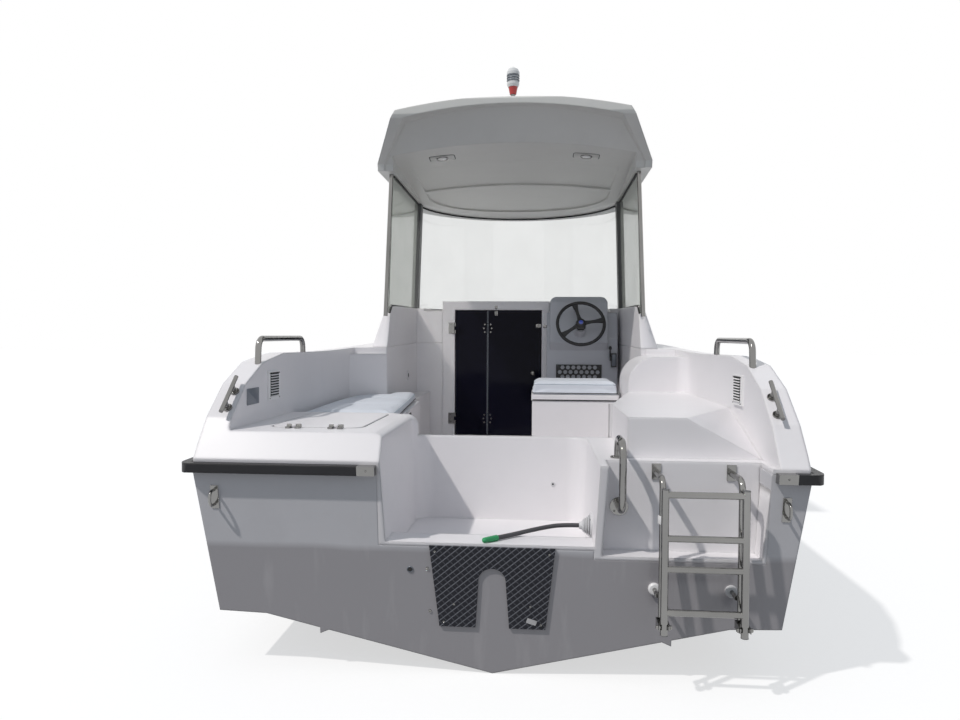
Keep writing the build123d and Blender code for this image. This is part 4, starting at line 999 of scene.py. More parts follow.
    def grow(
        self,
        name: str,
        group: bpy.types.NodeTree,
        points: Sequence[tuple[Vector, Vector]],
        values: dict[str, object],
        body: Body,
    ) -> bpy.types.Object:
        """Runs a tree on a set of points and keeps its result as a plain mesh.

        Args:
            name: The piece's name.
            group: The tree.
            points: Place and facing of each point.
            values: Value of each named input.
            body: The body that the piece rides on.

        Returns:
            The piece.
        """
        mesh = bpy.data.meshes.new(name + "_points")
        mesh.from_pydata([tuple(place) for place, _ in points], [], [])
        facing = mesh.attributes.new("facing", "FLOAT_VECTOR", "POINT")
        for index, (_, normal) in enumerate(points):
            facing.data[index].vector = normal
        carrier = add_object(name + "_carrier", mesh)
        modifier = carrier.modifiers.new("grow", "NODES")
        modifier.node_group = group
        sockets = {
            item.name: item.identifier
            for item in group.interface.items_tree
            if item.in_out == "INPUT"
        }
        for label, value in values.items():
            modifier[sockets[label]] = value
        view = bpy.context.evaluated_depsgraph_get()
        plain = bpy.data.meshes.new_from_object(carrier.evaluated_get(view))
        plain.name = name
        bpy.data.objects.remove(carrier)
        piece = add_object(name, plain)
        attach(piece, body.value)
        LOG.info("grew %s: %d faces", name, len(plain.polygons))
        return piece

    def screw_set(
        self, name: str, points: Sequence[tuple[Vector, Vector]], radius: float, body: Body
    ) -> bpy.types.Object:
        """Sets stainless screws on points.

        Args:
            name: The piece's name.
            points: Place and facing of each screw.
            radius: Radius of a head.
            body: The body that they ride on.

        Returns:
            The piece.
        """
        values = {"Radius": radius, "Height": radius * 0.5, "Finish": MATERIALS["stainless"]}
        return self.grow(name, self.screws, points, values, body)


REPEATS = RepeatMaker()


@dataclass
class SteeringCable:
    """The steering cable that lies in the engine well, with its taped end and its bellows boot.

    Attributes:
        route: The route's points, with distances forward of the transom's top.
        radius: The cable's radius.
        length: The cable's length; not used.
        boot_radius: Radius of the boot's flange.
    """

    route: tuple[Point, ...] = (
        (0.31045, 0.230, 0.262),
        (0.246, 0.230, 0.262),
        (0.186, 0.209, 0.257),
        (0.124, 0.174, 0.251),
        (0.066, 0.131, 0.2465),
        (0.014, 0.087, 0.2465),
    )
    radius: float = 0.008
    length: float = 0.339
    boot_radius: float = 0.048

    def build(self) -> None:
        """Builds the cable, its taped end and its boot."""
        curve = bpy.data.curves.new("steering_cable_run", "CURVE")
        curve.dimensions = "3D"
        curve.bevel_depth = self.radius
        curve.bevel_resolution = 6
        curve.use_fill_caps = True
        curve.resolution_u = 24
        spline = curve.splines.new("NURBS")
        spline.points.add(len(self.route) - 1)
        for point, (x, distance, z) in zip(spline.points, self.route):
            point.co = (x, sit(distance), z, 1.0)
        spline.order_u = 3
        spline.use_endpoint_u = True
        curve.materials.append(MATERIALS["cable_grey"])
        cable = add_object("steering_cable_run", curve)
        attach(cable, Body.BOAT.value)
        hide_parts("steering_cable")
        tape = self.build_tape()
        self.build_boot()
        x, distance, z = self.route[0]
        LOG.info("made %s", cable.name)

    def build_tape(self) -> bpy.types.Object:
        """Builds the green tape wound round the cable's end fitting.

        Returns:
            The tape.
        """
        end = Vector((self.route[-1][0], sit(self.route[-1][1]), self.route[-1][2]))
        before = Vector((self.route[-2][0], sit(self.route[-2][1]), self.route[-2][2]))
        place = plane_at(end, end - before)
        profile: list[Flat] = [(0.0, -0.004), (0.0082, -0.004)]
        turns = 5
        for turn in range(turns):
            start = turn * 0.0115
            profile += [(0.0108 - turn * 0.0003, start), (0.0098 - turn * 0.0003, start + 0.0105)]
        profile += [(0.0072, 0.0595), (0.0035, 0.0615), (0.0, 0.0618)]
        form = bmesh.new()
        MeshMaker.lathe(form, profile, place, 20)
        tape = MeshMaker.keep("cable_tape", form, "tape_green", Body.BOAT, 50.0)
        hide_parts("cable_end")
        return tape

    def build_boot(self) -> None:
        """Builds the bellows boot on the well's side."""
        low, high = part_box("rigging_boot")
        middle = Vector((high[0], (low[1] + high[1]) / 2.0, (low[2] + high[2]) / 2.0))
        depth = high[0] - low[0]
        place = plane_at(middle, TO_PORT)
        flange = self.boot_radius * 0.985
        profile: list[Flat] = [
            (flange, 0.0),
            (flange, depth * 0.12),
            (flange * 0.93, depth * 0.17),
            (flange * 0.66, depth * 0.2),
        ]
        ribs = 4
        for rib in range(ribs):
            share = rib / ribs
            wide = flange * (0.80 - 0.36 * share)
            start = depth * (0.24 + 0.5 * share)
            profile += [
                (wide * 0.84, start),
                (wide, start + depth * 0.035),
                (wide, start + depth * 0.06),
                (wide * 0.84, start + depth * 0.095),
            ]
        profile += [
            (0.0145, depth * 0.80),
            (0.0125, depth * 0.98),
            (0.0095, depth * 0.998),
            (0.0, depth * 0.99),
        ]
        form = bmesh.new()
        MeshMaker.lathe(form, profile, place, 36)
        boot = MeshMaker.keep("bellows_boot", form, "boot_white", Body.BOAT, 50.0)
        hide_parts("rigging_boot")
        ring = []
        for step in range(4):
            angle = math.tau * (step + 0.5) / 4
            arm = Vector((0.0, math.cos(angle), math.sin(angle))) * flange * 0.86
            ring.append((middle + arm + Vector((-depth * 0.155, 0.0, 0.0)), TO_PORT))
        REPEATS.screw_set("boot_screws", ring, 0.0042, Body.BOAT)


@dataclass
class Cushion:
    """A padded seat of coated cloth, with piping and a stitched seam.

    Attributes:
        node: The CAD node it stands for.
        body: The body it rides on.
        outline: Its outline in plan, in frame axes, with distances forward of the transom's top.
        low: Height of its underside.
        high: Height of its top before it is filled.
        corner: Radius of its corners in plan.
        edge: Radius of its upper edge.
        voxel: Size of the remesh.
        swell: How far a point may move as it is filled.
        fill: How tight it is; not used.
        panels: Distances at which a sewn channel crosses it.
    """

    node: str
    body: Body
    outline: tuple[Flat, ...]
    low: float
    high: float
    corner: float
    edge: float
    voxel: float
    swell: float
    fill: float
    panels: tuple[float, ...] = ()

    def rim(self, inset: float) -> list[Flat]:
        """Returns the rounded outline, moved in by an inset."""
        middle = Vector(
            (sum(x for x, _ in self.outline), sum(y for _, y in self.outline))
        ) / len(self.outline)
        corners = []
        for x, y in self.outline:
            arm = Vector((x, y)) - middle
            corners.append(
                (
                    x - inset * (1.0 if arm.x > 0 else -1.0),
                    sit(y) - inset * (1.0 if arm.y > 0 else -1.0),
                )
            )
        return rounded(corners, self.corner, 5)

    def blank(self) -> bpy.types.Object:
        """Builds the closed form that is filled.

        Returns:
            The object, remeshed.
        """
        form = bmesh.new()
        rings = []
        steps = [(0.004, self.low), (0.0, self.low + 0.004)]
        arc = 5
        for step in range(arc + 1):
            angle = math.pi / 2.0 * step / arc
            steps.append(
                (
                    self.edge * (1.0 - math.cos(angle)),
                    self.high - self.edge + self.edge * math.sin(angle),
                )
            )
        for inset, height in steps:
            rings.append([form.verts.new((x, y, height)) for x, y in self.rim(inset + 0.002)])
        for lower, upper in zip(rings, rings[1:]):
            MeshMaker.join_rings(form, lower, upper)
        form.faces.new(rings[0])
        form.faces.new(rings[-1])
        bmesh.ops.recalc_face_normals(form, faces=form.faces)
        mesh = bpy.data.meshes.new(self.node + "_fill")
        form.to_mesh(mesh)
        form.free()
        piece = add_object(self.node + "_padded", mesh)
        remesh = piece.modifiers.new("remesh", "REMESH")
        remesh.mode = "VOXEL"
        remesh.voxel_size = self.voxel
        self.settle(piece)
        return piece

    @staticmethod
    def settle(piece: bpy.types.Object) -> None:
        """Turns the piece's modifiers into its mesh."""
        view = bpy.context.evaluated_depsgraph_get()
        mesh = bpy.data.meshes.new_from_object(piece.evaluated_get(view))
        piece.modifiers.clear()
        old = piece.data
        piece.data = mesh
        bpy.data.meshes.remove(old)

    def inflate(self, piece: bpy.types.Object) -> None:
        """Fills the cushion with cloth pressure, its underside and channels held down.

        Args:
            piece: The cushion.
        """
        rest = [corner.co.copy() for corner in piece.data.vertices]
        held = piece.vertex_groups.new(name="held")
        for index, place in enumerate(rest):
            near = min((abs(place.y - sit(line)) for line in self.panels), default=1.0)
            if place.z < self.low + 0.012 or near < self.voxel * 0.8:
                held.add([index], 1.0, "REPLACE")
        cloth = piece.modifiers.new("cloth", "CLOTH")
        cloth.settings.use_pressure = True
        cloth.settings.uniform_pressure_force = 4.0
        cloth.settings.effector_weights.gravity = 0.0
        cloth.settings.vertex_group_mass = "held"
        cloth.settings.quality = 5
        cloth.settings.tension_stiffness = 20.0
        cloth.settings.compression_stiffness = 20.0
        cloth.point_cache.frame_start = 1
        cloth.point_cache.frame_end = 20
        for step in range(1, 21):
            bpy.context.scene.frame_set(step)
        view = bpy.context.evaluated_depsgraph_get()
        moved = piece.evaluated_get(view).data
        places = [corner.co.copy() for corner in moved.vertices]
        piece.modifiers.clear()
        bpy.context.scene.frame_set(1)
        for corner, start, end in zip(piece.data.vertices, rest, places):
            drift = end - start
            if drift.length > self.swell:
                drift *= self.swell / drift.length
            corner.co = start + drift

    def build(self) -> None:
        """Builds the cushion, its piping and its stitches."""
        piece = self.blank()
        self.inflate(piece)
        smooth = piece.modifiers.new("smooth", "SMOOTH")
        smooth.iterations = 4
        fine = piece.modifiers.new("fine", "SUBSURF")
        fine.levels = 1
        fine.render_levels = 1
        self.settle(piece)
        for face in piece.data.polygons:
            face.use_smooth = True
        piece.data.materials.clear()
        piece.data.materials.append(MATERIALS["cushion_blue_grey"])
        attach(piece, self.body.value)
        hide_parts(self.node)
        LOG.info("padded %s: %d faces", self.node, len(piece.data.polygons))
        self.sew(piece)

    def sew(self, piece: bpy.types.Object) -> None:
        """Lays piping, a black foot seam that paints the shade under the cushion's edge, and
        stitches on the cushion's surface.

        Args:
            piece: The cushion.
        """
        for label, height, inset, radius in (
            ("piping", self.high - self.edge * 0.35, 0.0, 0.0026),
            # The foot bead marks the cushion's lower seam; its black paints the shade in the crease
            # under the cushion's edge.
            ("foot_seam_shade", self.low + 0.008, 0.0, 0.0024),
        ):
            line = []
            for x, y in self.subdivide(self.rim(inset), 0.012):
                _, spot, _, _ = piece.closest_point_on_mesh(Vector((x, y, height)))
                line.append(spot)
            form = bmesh.new()
            MeshMaker.tube(form, line, radius, 8, closed=True)
            MeshMaker.keep(
                f"{self.node}_{label}",
                form,
                "thread_pale" if label == "piping" else "gasket_black",
                self.body,
            )
        rows: list[tuple[Vector, Vector]] = []
        loop = self.subdivide(self.rim(self.edge * 0.9), 0.0075)
        for index, (x, y) in enumerate(loop):
            after = loop[(index + 1) % len(loop)]
            rows.append(self.stitch(piece, x, y, Vector((after[0] - x, after[1] - y, 0.0))))
        low_x, high_x = min(x for x, _ in self.outline), max(x for x, _ in self.outline)
        for line in self.panels:
            for side in (-0.006, 0.006):
                x = low_x + 0.03
                while x < high_x - 0.03:
                    rows.append(self.stitch(piece, x, sit(line) + side, TO_STARBOARD))
                    x += 0.0075
        values = {
            "Size": (0.0046, 0.0011, 0.0011),
            "Tilt": (0.0, 0.0, 0.0),
            "Finish": MATERIALS["thread_pale"],
        }
        REPEATS.grow(f"{self.node}_stitches", REPEATS.blades, rows, values, self.body)

    def stitch(
        self, piece: bpy.types.Object, x: float, y: float, along: Vector
    ) -> tuple[Vector, Vector]:
        """Returns one stitch's place on the cushion's top, and its direction."""
        hit, spot, normal, _ = piece.ray_cast(Vector((x, y, self.high + 0.2)), DOWN)
        if not hit:
            _, spot, normal, _ = piece.closest_point_on_mesh(Vector((x, y, self.high)))
        return spot, (along - normal * along.dot(normal)).normalized()

    @staticmethod
    def subdivide(loop: Sequence[Flat], step: float) -> list[Flat]:
        """Returns points at even steps round a loop."""
        result: list[Flat] = []
        for index, start in enumerate(loop):
            end = loop[(index + 1) % len(loop)]
            span = math.dist(start, end)
            count = max(1, round(span / step))
            for part in range(count):
                share = part / count
                result.append(
                    (start[0] + (end[0] - start[0]) * share, start[1] + (end[1] - start[1]) * share)
                )
        return result


@dataclass
class CabinDoor:
    """The folding door's screws, latches and knob, and the screws of its jamb hinges.

    Attributes:
        face: Distance of the leaves' aft face.
        frame_face: Distance of the door frame's aft face.
        fold_x: Where the leaves meet.
        jamb_x: Where the port leaf's hinge plates lie.
        hinge_heights: Middle heights of the hinges.
        screw_pitch: Height between a hinge's screws.
        bolt_x: Place of the barrel bolt across the boat.
    """

    face: float = 2.706
    frame_face: float = 2.700
    fold_x: float = -0.205
    jamb_x: float = -0.464
    hinge_heights: tuple[float, float] = (1.030, 0.383)
    screw_pitch: float = 0.027
    bolt_x: float = -0.145

    def build(self) -> None:
        """Builds the door's small fittings."""
        for body, side, name in (
            (Body.DOOR_PORT, -1.0, "fold_screws_port"),
            (Body.DOOR_STARBOARD, 1.0, "fold_screws_starboard"),
        ):
            points = []
            for height in self.hinge_heights:
                for step, out in ((-1, 0.021), (0, 0.028), (1, 0.021)):
                    points.append(
                        (
                            Vector(
                                (
                                    self.fold_x + side * out,
                                    sit(self.face),
                                    height + step * self.screw_pitch,
                                )
                            ),
                            AFT,
                        )
                    )
            REPEATS.screw_set(name, points, 0.0075, body)
        points = []
        for height in self.hinge_heights:
            for step in (-1, 0, 1):
                spot, _ = land(
                    "door_hinges",
                    (self.jamb_x - 0.004, sit(2.6), height + step * self.screw_pitch),
                    FORWARD,
                )
                points.append((spot, AFT))
        REPEATS.screw_set("jamb_screws", points, 0.0042, Body.BOAT)
        self.build_bolt()
        self.build_latch()
        self.build_knob()
        self.build_edges()

    def build_bolt(self) -> None:
        """Builds the barrel bolt at the door's top, and its keeper."""
        form = bmesh.new()
        place = plane_at(Vector((self.bolt_x, sit(self.face), 1.137)), AFT)
        MeshMaker.plate(form, rounded(rectangle(0.022, 0.034), 0.005), -0.001, 0.0022, place, 0.001)
        rod = plane_at(Vector((self.bolt_x, sit(self.face) - 0.0065, 1.120)), UP, FORWARD)
        MeshMaker.lathe(
            form,
            [(0.0, 0.0), (0.004, 0.0015), (0.0042, 0.032), (0.003, 0.034), (0.0, 0.034)],
            rod,
            14,
        )
        for height in (1.129, 1.146):
            sleeve = plane_at(
                Vector((self.bolt_x, sit(self.face) - 0.0065, height - 0.004)), UP, FORWARD
            )
            MeshMaker.lathe(
                form,
                [
                    (0.0, 0.0), (0.0062, 0.0), (0.0066, 0.001), (0.0066, 0.007), (0.0062, 0.008),
                    (0.0, 0.008),
                ],
                sleeve,
                16,
            )
        MeshMaker.keep("door_bolt", form, "stainless", Body.DOOR_STARBOARD)
        form = bmesh.new()
        place = plane_at(Vector((self.bolt_x, sit(self.frame_face), 1.178)), AFT)
        MeshMaker.plate(form, rounded(rectangle(0.020, 0.024), 0.005), -0.001, 0.002, place, 0.001)
        MeshMaker.plate(form, rounded(rectangle(0.012, 0.010), 0.003), 0.001, 0.010, place, 0.002)
        MeshMaker.keep("bolt_keeper", form, "stainless", Body.BOAT)

    def build_latch(self) -> None:
        """Builds the side latch with its keyhole, and its striker."""
        place = plane_at(Vector((0.157, sit(self.face), 1.048)), AFT)
        form = bmesh.new()
        MeshMaker.plate(form, rounded(rectangle(0.038, 0.028), 0.011), -0.001, 0.004, place, 0.0015)
        MeshMaker.lathe(
            form,
            [
                (0.0, 0.003), (0.0105, 0.003), (0.0112, 0.0075), (0.0098, 0.0095), (0.007, 0.0098),
                (0.006, 0.0085), (0.0, 0.0085),
            ],
            place,
            24,
        )
        MeshMaker.keep("side_latch", form, "stainless", Body.DOOR_STARBOARD)
        form = bmesh.new()
        # Painted shade: the keyhole is a dark plate for the shade inside the slot.
        MeshMaker.plate(form, rounded(rectangle(0.0035, 0.009), 0.001, 3), 0.008, 0.0092, place)
        MeshMaker.keep("latch_keyhole", form, "hole_dark", Body.DOOR_STARBOARD)
        place = plane_at(Vector((0.205, sit(self.frame_face), 1.044)), AFT)
        MeshMaker.slab(
            "latch_striker", (0.030, 0.020), 0.006, (-0.001, 0.0025, 0.001), place, "stainless",
            Body.BOAT,
        )
        points = [(place @ Vector((side * 0.0095, 0.0, 0.0025)), AFT) for side in (-1.0, 1.0)]
        REPEATS.screw_set("striker_screws", points, 0.003, Body.BOAT)

    def build_knob(self) -> None:
        """Builds the pull knob near the door's free edge."""
        place = plane_at(Vector((0.118, sit(self.face), 0.712)), AFT)
        profile = [
            (0.0, -0.001), (0.0155, -0.001), (0.0155, 0.0015), (0.0145, 0.003), (0.0065, 0.004),
            (0.0055, 0.012),
        ]
        profile += [
            (0.009, 0.017), (0.0125, 0.021), (0.013, 0.025), (0.011, 0.0285), (0.006, 0.0302),
            (0.0, 0.0306),
        ]
        MeshMaker.turned("door_knob", profile, place, 28, "stainless", Body.DOOR_STARBOARD, 50.0)

    def build_edges(self) -> None:
        """Builds the slim alloy edge strips where the leaves meet."""
        for body, x, name in (
            (Body.DOOR_PORT, self.fold_x - 0.0035, "fold_strip_port"),
            (Body.DOOR_STARBOARD, self.fold_x + 0.0035, "fold_strip_starboard"),
        ):
            form = bmesh.new()
            place = plane_at(Vector((x, sit(self.face), 0.711)), AFT)
            MeshMaker.plate(
                form, rounded(rectangle(0.0028, 0.884), 0.0008, 3), -0.001, 0.0012, place, 0.0004
            )
            MeshMaker.keep(name, form, "slate_plate", body)


@dataclass
class HelmStation:
    """The steering wheel, and the small things round the console.

    Attributes:
        centre: Middle of the wheel.
        tilt: How far the wheel leans back, in degrees.
        rim_radius: Radius of the rim's middle line.
        grip: Radius of the rim itself.
    """

    centre: Point = (0.440, 2.440, 1.060)
    tilt: float = 25.0
    rim_radius: float = 0.156
    grip: float = 0.0117

    def place(self) -> Matrix:
        """Returns the wheel's placing, its own Z towards the helm seat."""
        angle = math.radians(self.tilt)
        middle = Vector((self.centre[0], sit(self.centre[1]), self.centre[2]))
        return plane_at(middle, Vector((0.0, -math.cos(angle), math.sin(angle))))

    def build(self) -> None:
        """Builds the wheel and the console's fittings."""
        self.build_wheel()
        self.build_lever()
        self.build_pocket_screws()

    def build_wheel(self) -> None:
        """Builds the wheel: a rim with finger grips, three dished spokes, a hub and its cap."""
        place = self.place()
        form = bmesh.new()
        steps = 120
        sides = 14
        rings = []
        for step in range(steps):
            angle = math.tau * step / steps
            out = Vector((math.cos(angle), math.sin(angle), 0.0))
            bump = max(0.0, math.cos(angle * 30.0)) * 0.0009
            ring = []
            for side in range(sides):
                turn = math.tau * side / sides
                thick = self.grip - 0.0006 - (bump if math.cos(turn) < -0.2 else 0.0)
                ring.append(
                    form.verts.new(
                        place @ (
                            out * (self.rim_radius + thick * math.cos(turn))
                            + Vector((0.0, 0.0, thick * math.sin(turn)))
                        )
                    )
                )
            rings.append(ring)
        for index in range(steps):
            MeshMaker.join_rings(form, rings[index - 1], rings[index])
        for angle in (105.0, 10.0, 215.0):
            turn = place @ Matrix.Rotation(math.radians(angle), 4, "Z")
            rows = []
            for share in range(9):
                part = share / 8.0
                x = 0.018 + (self.rim_radius - 0.020) * part
                half = 0.0195 - 0.0085 * math.sin(math.pi * min(1.0, part * 1.15)) + (
                    0.004 if part > 0.9 else 0.0
                )
                rise = 0.004 * (1.0 - part)
                rows.append(
                    [
                        form.verts.new(turn @ Vector((x, y, z + rise)))
                        for y, z in (
                            (-half, -0.0032),
                            (half, -0.0032),
                            (half * 0.86, 0.0036),
                            (-half * 0.86, 0.0036),
                        )
                    ]
                )
            for lower, upper in zip(rows, rows[1:]):
                MeshMaker.join_rings(form, lower, upper)
            form.faces.new(rows[0])
            form.faces.new(rows[-1])
        MeshMaker.lathe(
            form,
            [
                (0.0, -0.022), (0.033, -0.022), (0.0335, 0.006), (0.031, 0.014), (0.026, 0.018),
                (0.0, 0.0185),
            ],
            place,
            40,
        )
        lobe = [
            (-0.026, 0.0), (0.026, 0.0), (0.030, -0.034), (0.016, -0.048), (-0.016, -0.048),
            (-0.030, -0.034),
        ]
        MeshMaker.plate(form, rounded(lobe, 0.010), -0.006, 0.0135, place, 0.005)
        wheel = MeshMaker.keep("wheel", form, "black_plastic", Body.WHEEL, 42.0)
        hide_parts("steering_wheel")
        MeshMaker.turned(
            "hub_ring",
            [
                (0.0, 0.0175), (0.0168, 0.0175), (0.0178, 0.0205), (0.0165, 0.0222),
                (0.0145, 0.0222), (0.0, 0.0218),
            ],
            place,
            32,
            "black_frame",
            Body.WHEEL,
        )
        MeshMaker.turned(
            "hub_cap",
            [(0.0, 0.0205), (0.0142, 0.0205), (0.0142, 0.0222), (0.011, 0.0229), (0.0, 0.02295)],
            place,
            32,
            "cap_blue",
            Body.WHEEL,
        )

    def build_lever(self) -> None:
        """Builds the throttle lever on the control box."""
        low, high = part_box("control_box")
        middle_x = (low[0] + high[0]) / 2.0
        place = plane_at(Vector((low[0], low[1] + 0.012, high[2] - 0.034)), TO_PORT)
        form = bmesh.new()
        MeshMaker.lathe(
            form,
            [
                (0.0, -0.002), (0.020, -0.002), (0.020, 0.004), (0.017, 0.009), (0.008, 0.0105),
                (0.0, 0.0105),
            ],
            place,
            28,
        )
        grip = Vector((low[0] - 0.006, low[1] + 0.012, high[2] - 0.034))
        line = [
            grip,
            grip + Vector((-0.002, -0.008, 0.022)),
            grip + Vector((-0.003, -0.012, 0.046)),
            grip + Vector((-0.003, -0.013, 0.062)),
        ]
        MeshMaker.tube(form, line, 0.0055, 12)
        knob = plane_at(line[-1] - Vector((0.0, 0.0, 0.006)), UP, FORWARD)
        MeshMaker.lathe(
            form,
            [
                (0.0, 0.0), (0.008, 0.002), (0.011, 0.010), (0.0105, 0.020), (0.006, 0.026),
                (0.0, 0.027),
            ],
            knob,
            20,
        )
        MeshMaker.keep("throttle_lever", form, "black_plastic", Body.BOAT, 45.0)
        form = bmesh.new()
        slot = plane_at(Vector((middle_x, low[1], (low[2] + high[2]) / 2.0)), AFT)
        MeshMaker.plate(form, rounded(rectangle(0.026, 0.080), 0.006), -0.002, 0.002, slot, 0.0012)
        MeshMaker.keep("lever_plate", form, "slate_plate", Body.BOAT)

    def build_pocket_screws(self) -> None:
        """Builds the pocket's corner screws."""
        low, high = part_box("pocket")
        points = []
        for x in (low[0] + 0.010, high[0] - 0.010):
            for z in (low[2] + 0.010, high[2] - 0.010):
                spot, _ = land("pocket", (x, sit(2.2), z), FORWARD)
                points.append((spot, AFT))
        REPEATS.screw_set("pocket_screws", points, 0.0040, Body.BOAT)


@dataclass
class Roof:
    """Lamps in the ceiling, gaskets round the glass and the roof light's baffle.

    Attributes:
        lamp_x: How far the lamps are from the middle.
        lamp_distance: Their distance forward.
        seal_radius: Radius of the glass gasket.
        search_steps: Steps taken in the search for the glass edge.
    """

    lamp_x: float = 0.434
    lamp_distance: float = 1.940
    seal_radius: float = 0.0055
    search_steps: int = 80

    def build(self) -> None:
        """Builds the roof's small parts."""
        for side, name in ((-1.0, "port"), (1.0, "starboard")):
            self.build_lamp(side, name)
        self.build_seals()
        self.build_baffle()

    def build_lamp(self, side: float, name: str) -> None:
        """Builds one ceiling lamp: its bezel, its ring and its lens.

        Args:
            side: -1 to port, 1 to starboard.
            name: The side's name.
        """
        spot, normal = land("roof", (side * self.lamp_x, sit(self.lamp_distance), 1.7), UP)
        place = plane_at(spot, normal, FORWARD)
        MeshMaker.slab(
            f"lamp_gasket_{name}", (0.158, 0.094), 0.023, (-0.004, 0.0012, 0.0004), place,
            "gasket_black", Body.BOAT,
        )
        # The bezel takes roof_white, the darker white that paints shade on the ceiling.
        MeshMaker.slab(
            f"lamp_bezel_{name}", (0.150, 0.086), 0.020, (-0.003, 0.0035, 0.002), place,
            "roof_white", Body.BOAT,
        )
        MeshMaker.turned(
            f"lamp_ring_{name}",
            [
                (0.0, 0.001), (0.036, 0.001), (0.0365, 0.006), (0.033, 0.0085), (0.029, 0.0075),
                (0.027, 0.004), (0.0, 0.004),
            ],
            place,
            40,
            "stainless",
            Body.BOAT,
        )
        MeshMaker.turned(
            f"lamp_lens_{name}",
            [(0.0, 0.0035), (0.0268, 0.0035), (0.0268, 0.0055), (0.022, 0.0068), (0.0, 0.0078)],
            place,
            36,
            "lamp_clear",
            Body.BOAT,
        )

    def build_seals(self) -> None:
        """Builds the black gaskets that follow the glass at its head and foot."""
        sides = (
            ("side_window_port", -1.0, 1.955, 2.845), ("side_window_starboard", 1.0, 1.955, 2.845)
        )
        for node, side, near, far in sides:
            rays = []
            for step in range(15):
                distance = near + (far - near) * step / 14
                rays.append((Vector((side * 0.5, sit(distance), 0.0)), Vector((side, 0.0, 0.0))))
            self.build_seal(node, rays)
        rays = []
        for step in range(33):
            angle = math.radians(-88.0 + 176.0 * step / 32)
            rays.append(
                (Vector((0.0, sit(2.95), 0.0)), Vector((math.sin(angle), math.cos(angle), 0.0)))
            )
        self.build_seal("windscreen", rays)

    def build_seal(self, node: str, rays: Sequence[tuple[Vector, Vector]]) -> None:
        """Builds the gaskets along one pane's head and foot.

        Args:
            node: The pane's node.
            rays: Level lines, from inside, that sweep the pane.
        """
        for start, stop, name in ((1.944, 1.80, "head"), (1.08, 1.40, "foot")):
            line = []
            for place, heading in rays:
                spot = self.first_glass(node, place, heading, start, stop)
                if spot is not None:
                    line.append(spot - heading * self.seal_radius * 0.55)
            form = bmesh.new()
            MeshMaker.tube(form, line, self.seal_radius, 10)
            MeshMaker.keep(f"{node}_gasket_{name}", form, "gasket_black", Body.BOAT, 60.0)

    def first_glass(
        self, node: str, place: Vector, heading: Vector, start: float, stop: float
    ) -> Vector | None:
        """Looks for the pane's edge from one height towards another.

        Args:
            node: The pane's node.
            place: Where the level line starts.
            heading: The way it goes.
            start: The first height tried.
            stop: The last height tried.

        Returns:
            The first point found on the pane, or None.
        """
        for number in range(self.search_steps + 1):
            height = start + (stop - start) * number / self.search_steps
            try:
                spot, _ = land(node, (place.x, place.y, height), heading)
            except ValueError:
                continue
            return spot
        return None

    def build_baffle(self) -> None:
        """Builds the louvred baffle inside the all-round light."""
        low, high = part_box("light_lamp")
        middle = Vector(((low[0] + high[0]) / 2.0, (low[1] + high[1]) / 2.0, low[2]))
        place = Matrix.Translation(middle)
        reach = (high[0] - low[0]) / 2.0
        tall = high[2] - low[2]
        form = bmesh.new()
        for share in (0.30, 0.42, 0.54):
            start = tall * share
            MeshMaker.lathe(
                form,
                [
                    (0.0, start), (reach * 1.0, start), (reach * 1.02, start + 0.002),
                    (reach * 1.0, start + 0.004), (0.0, start + 0.004),
                ],
                place,
                28,
            )
        MeshMaker.keep("light_baffle", form, "slate_plate", Body.BOAT)


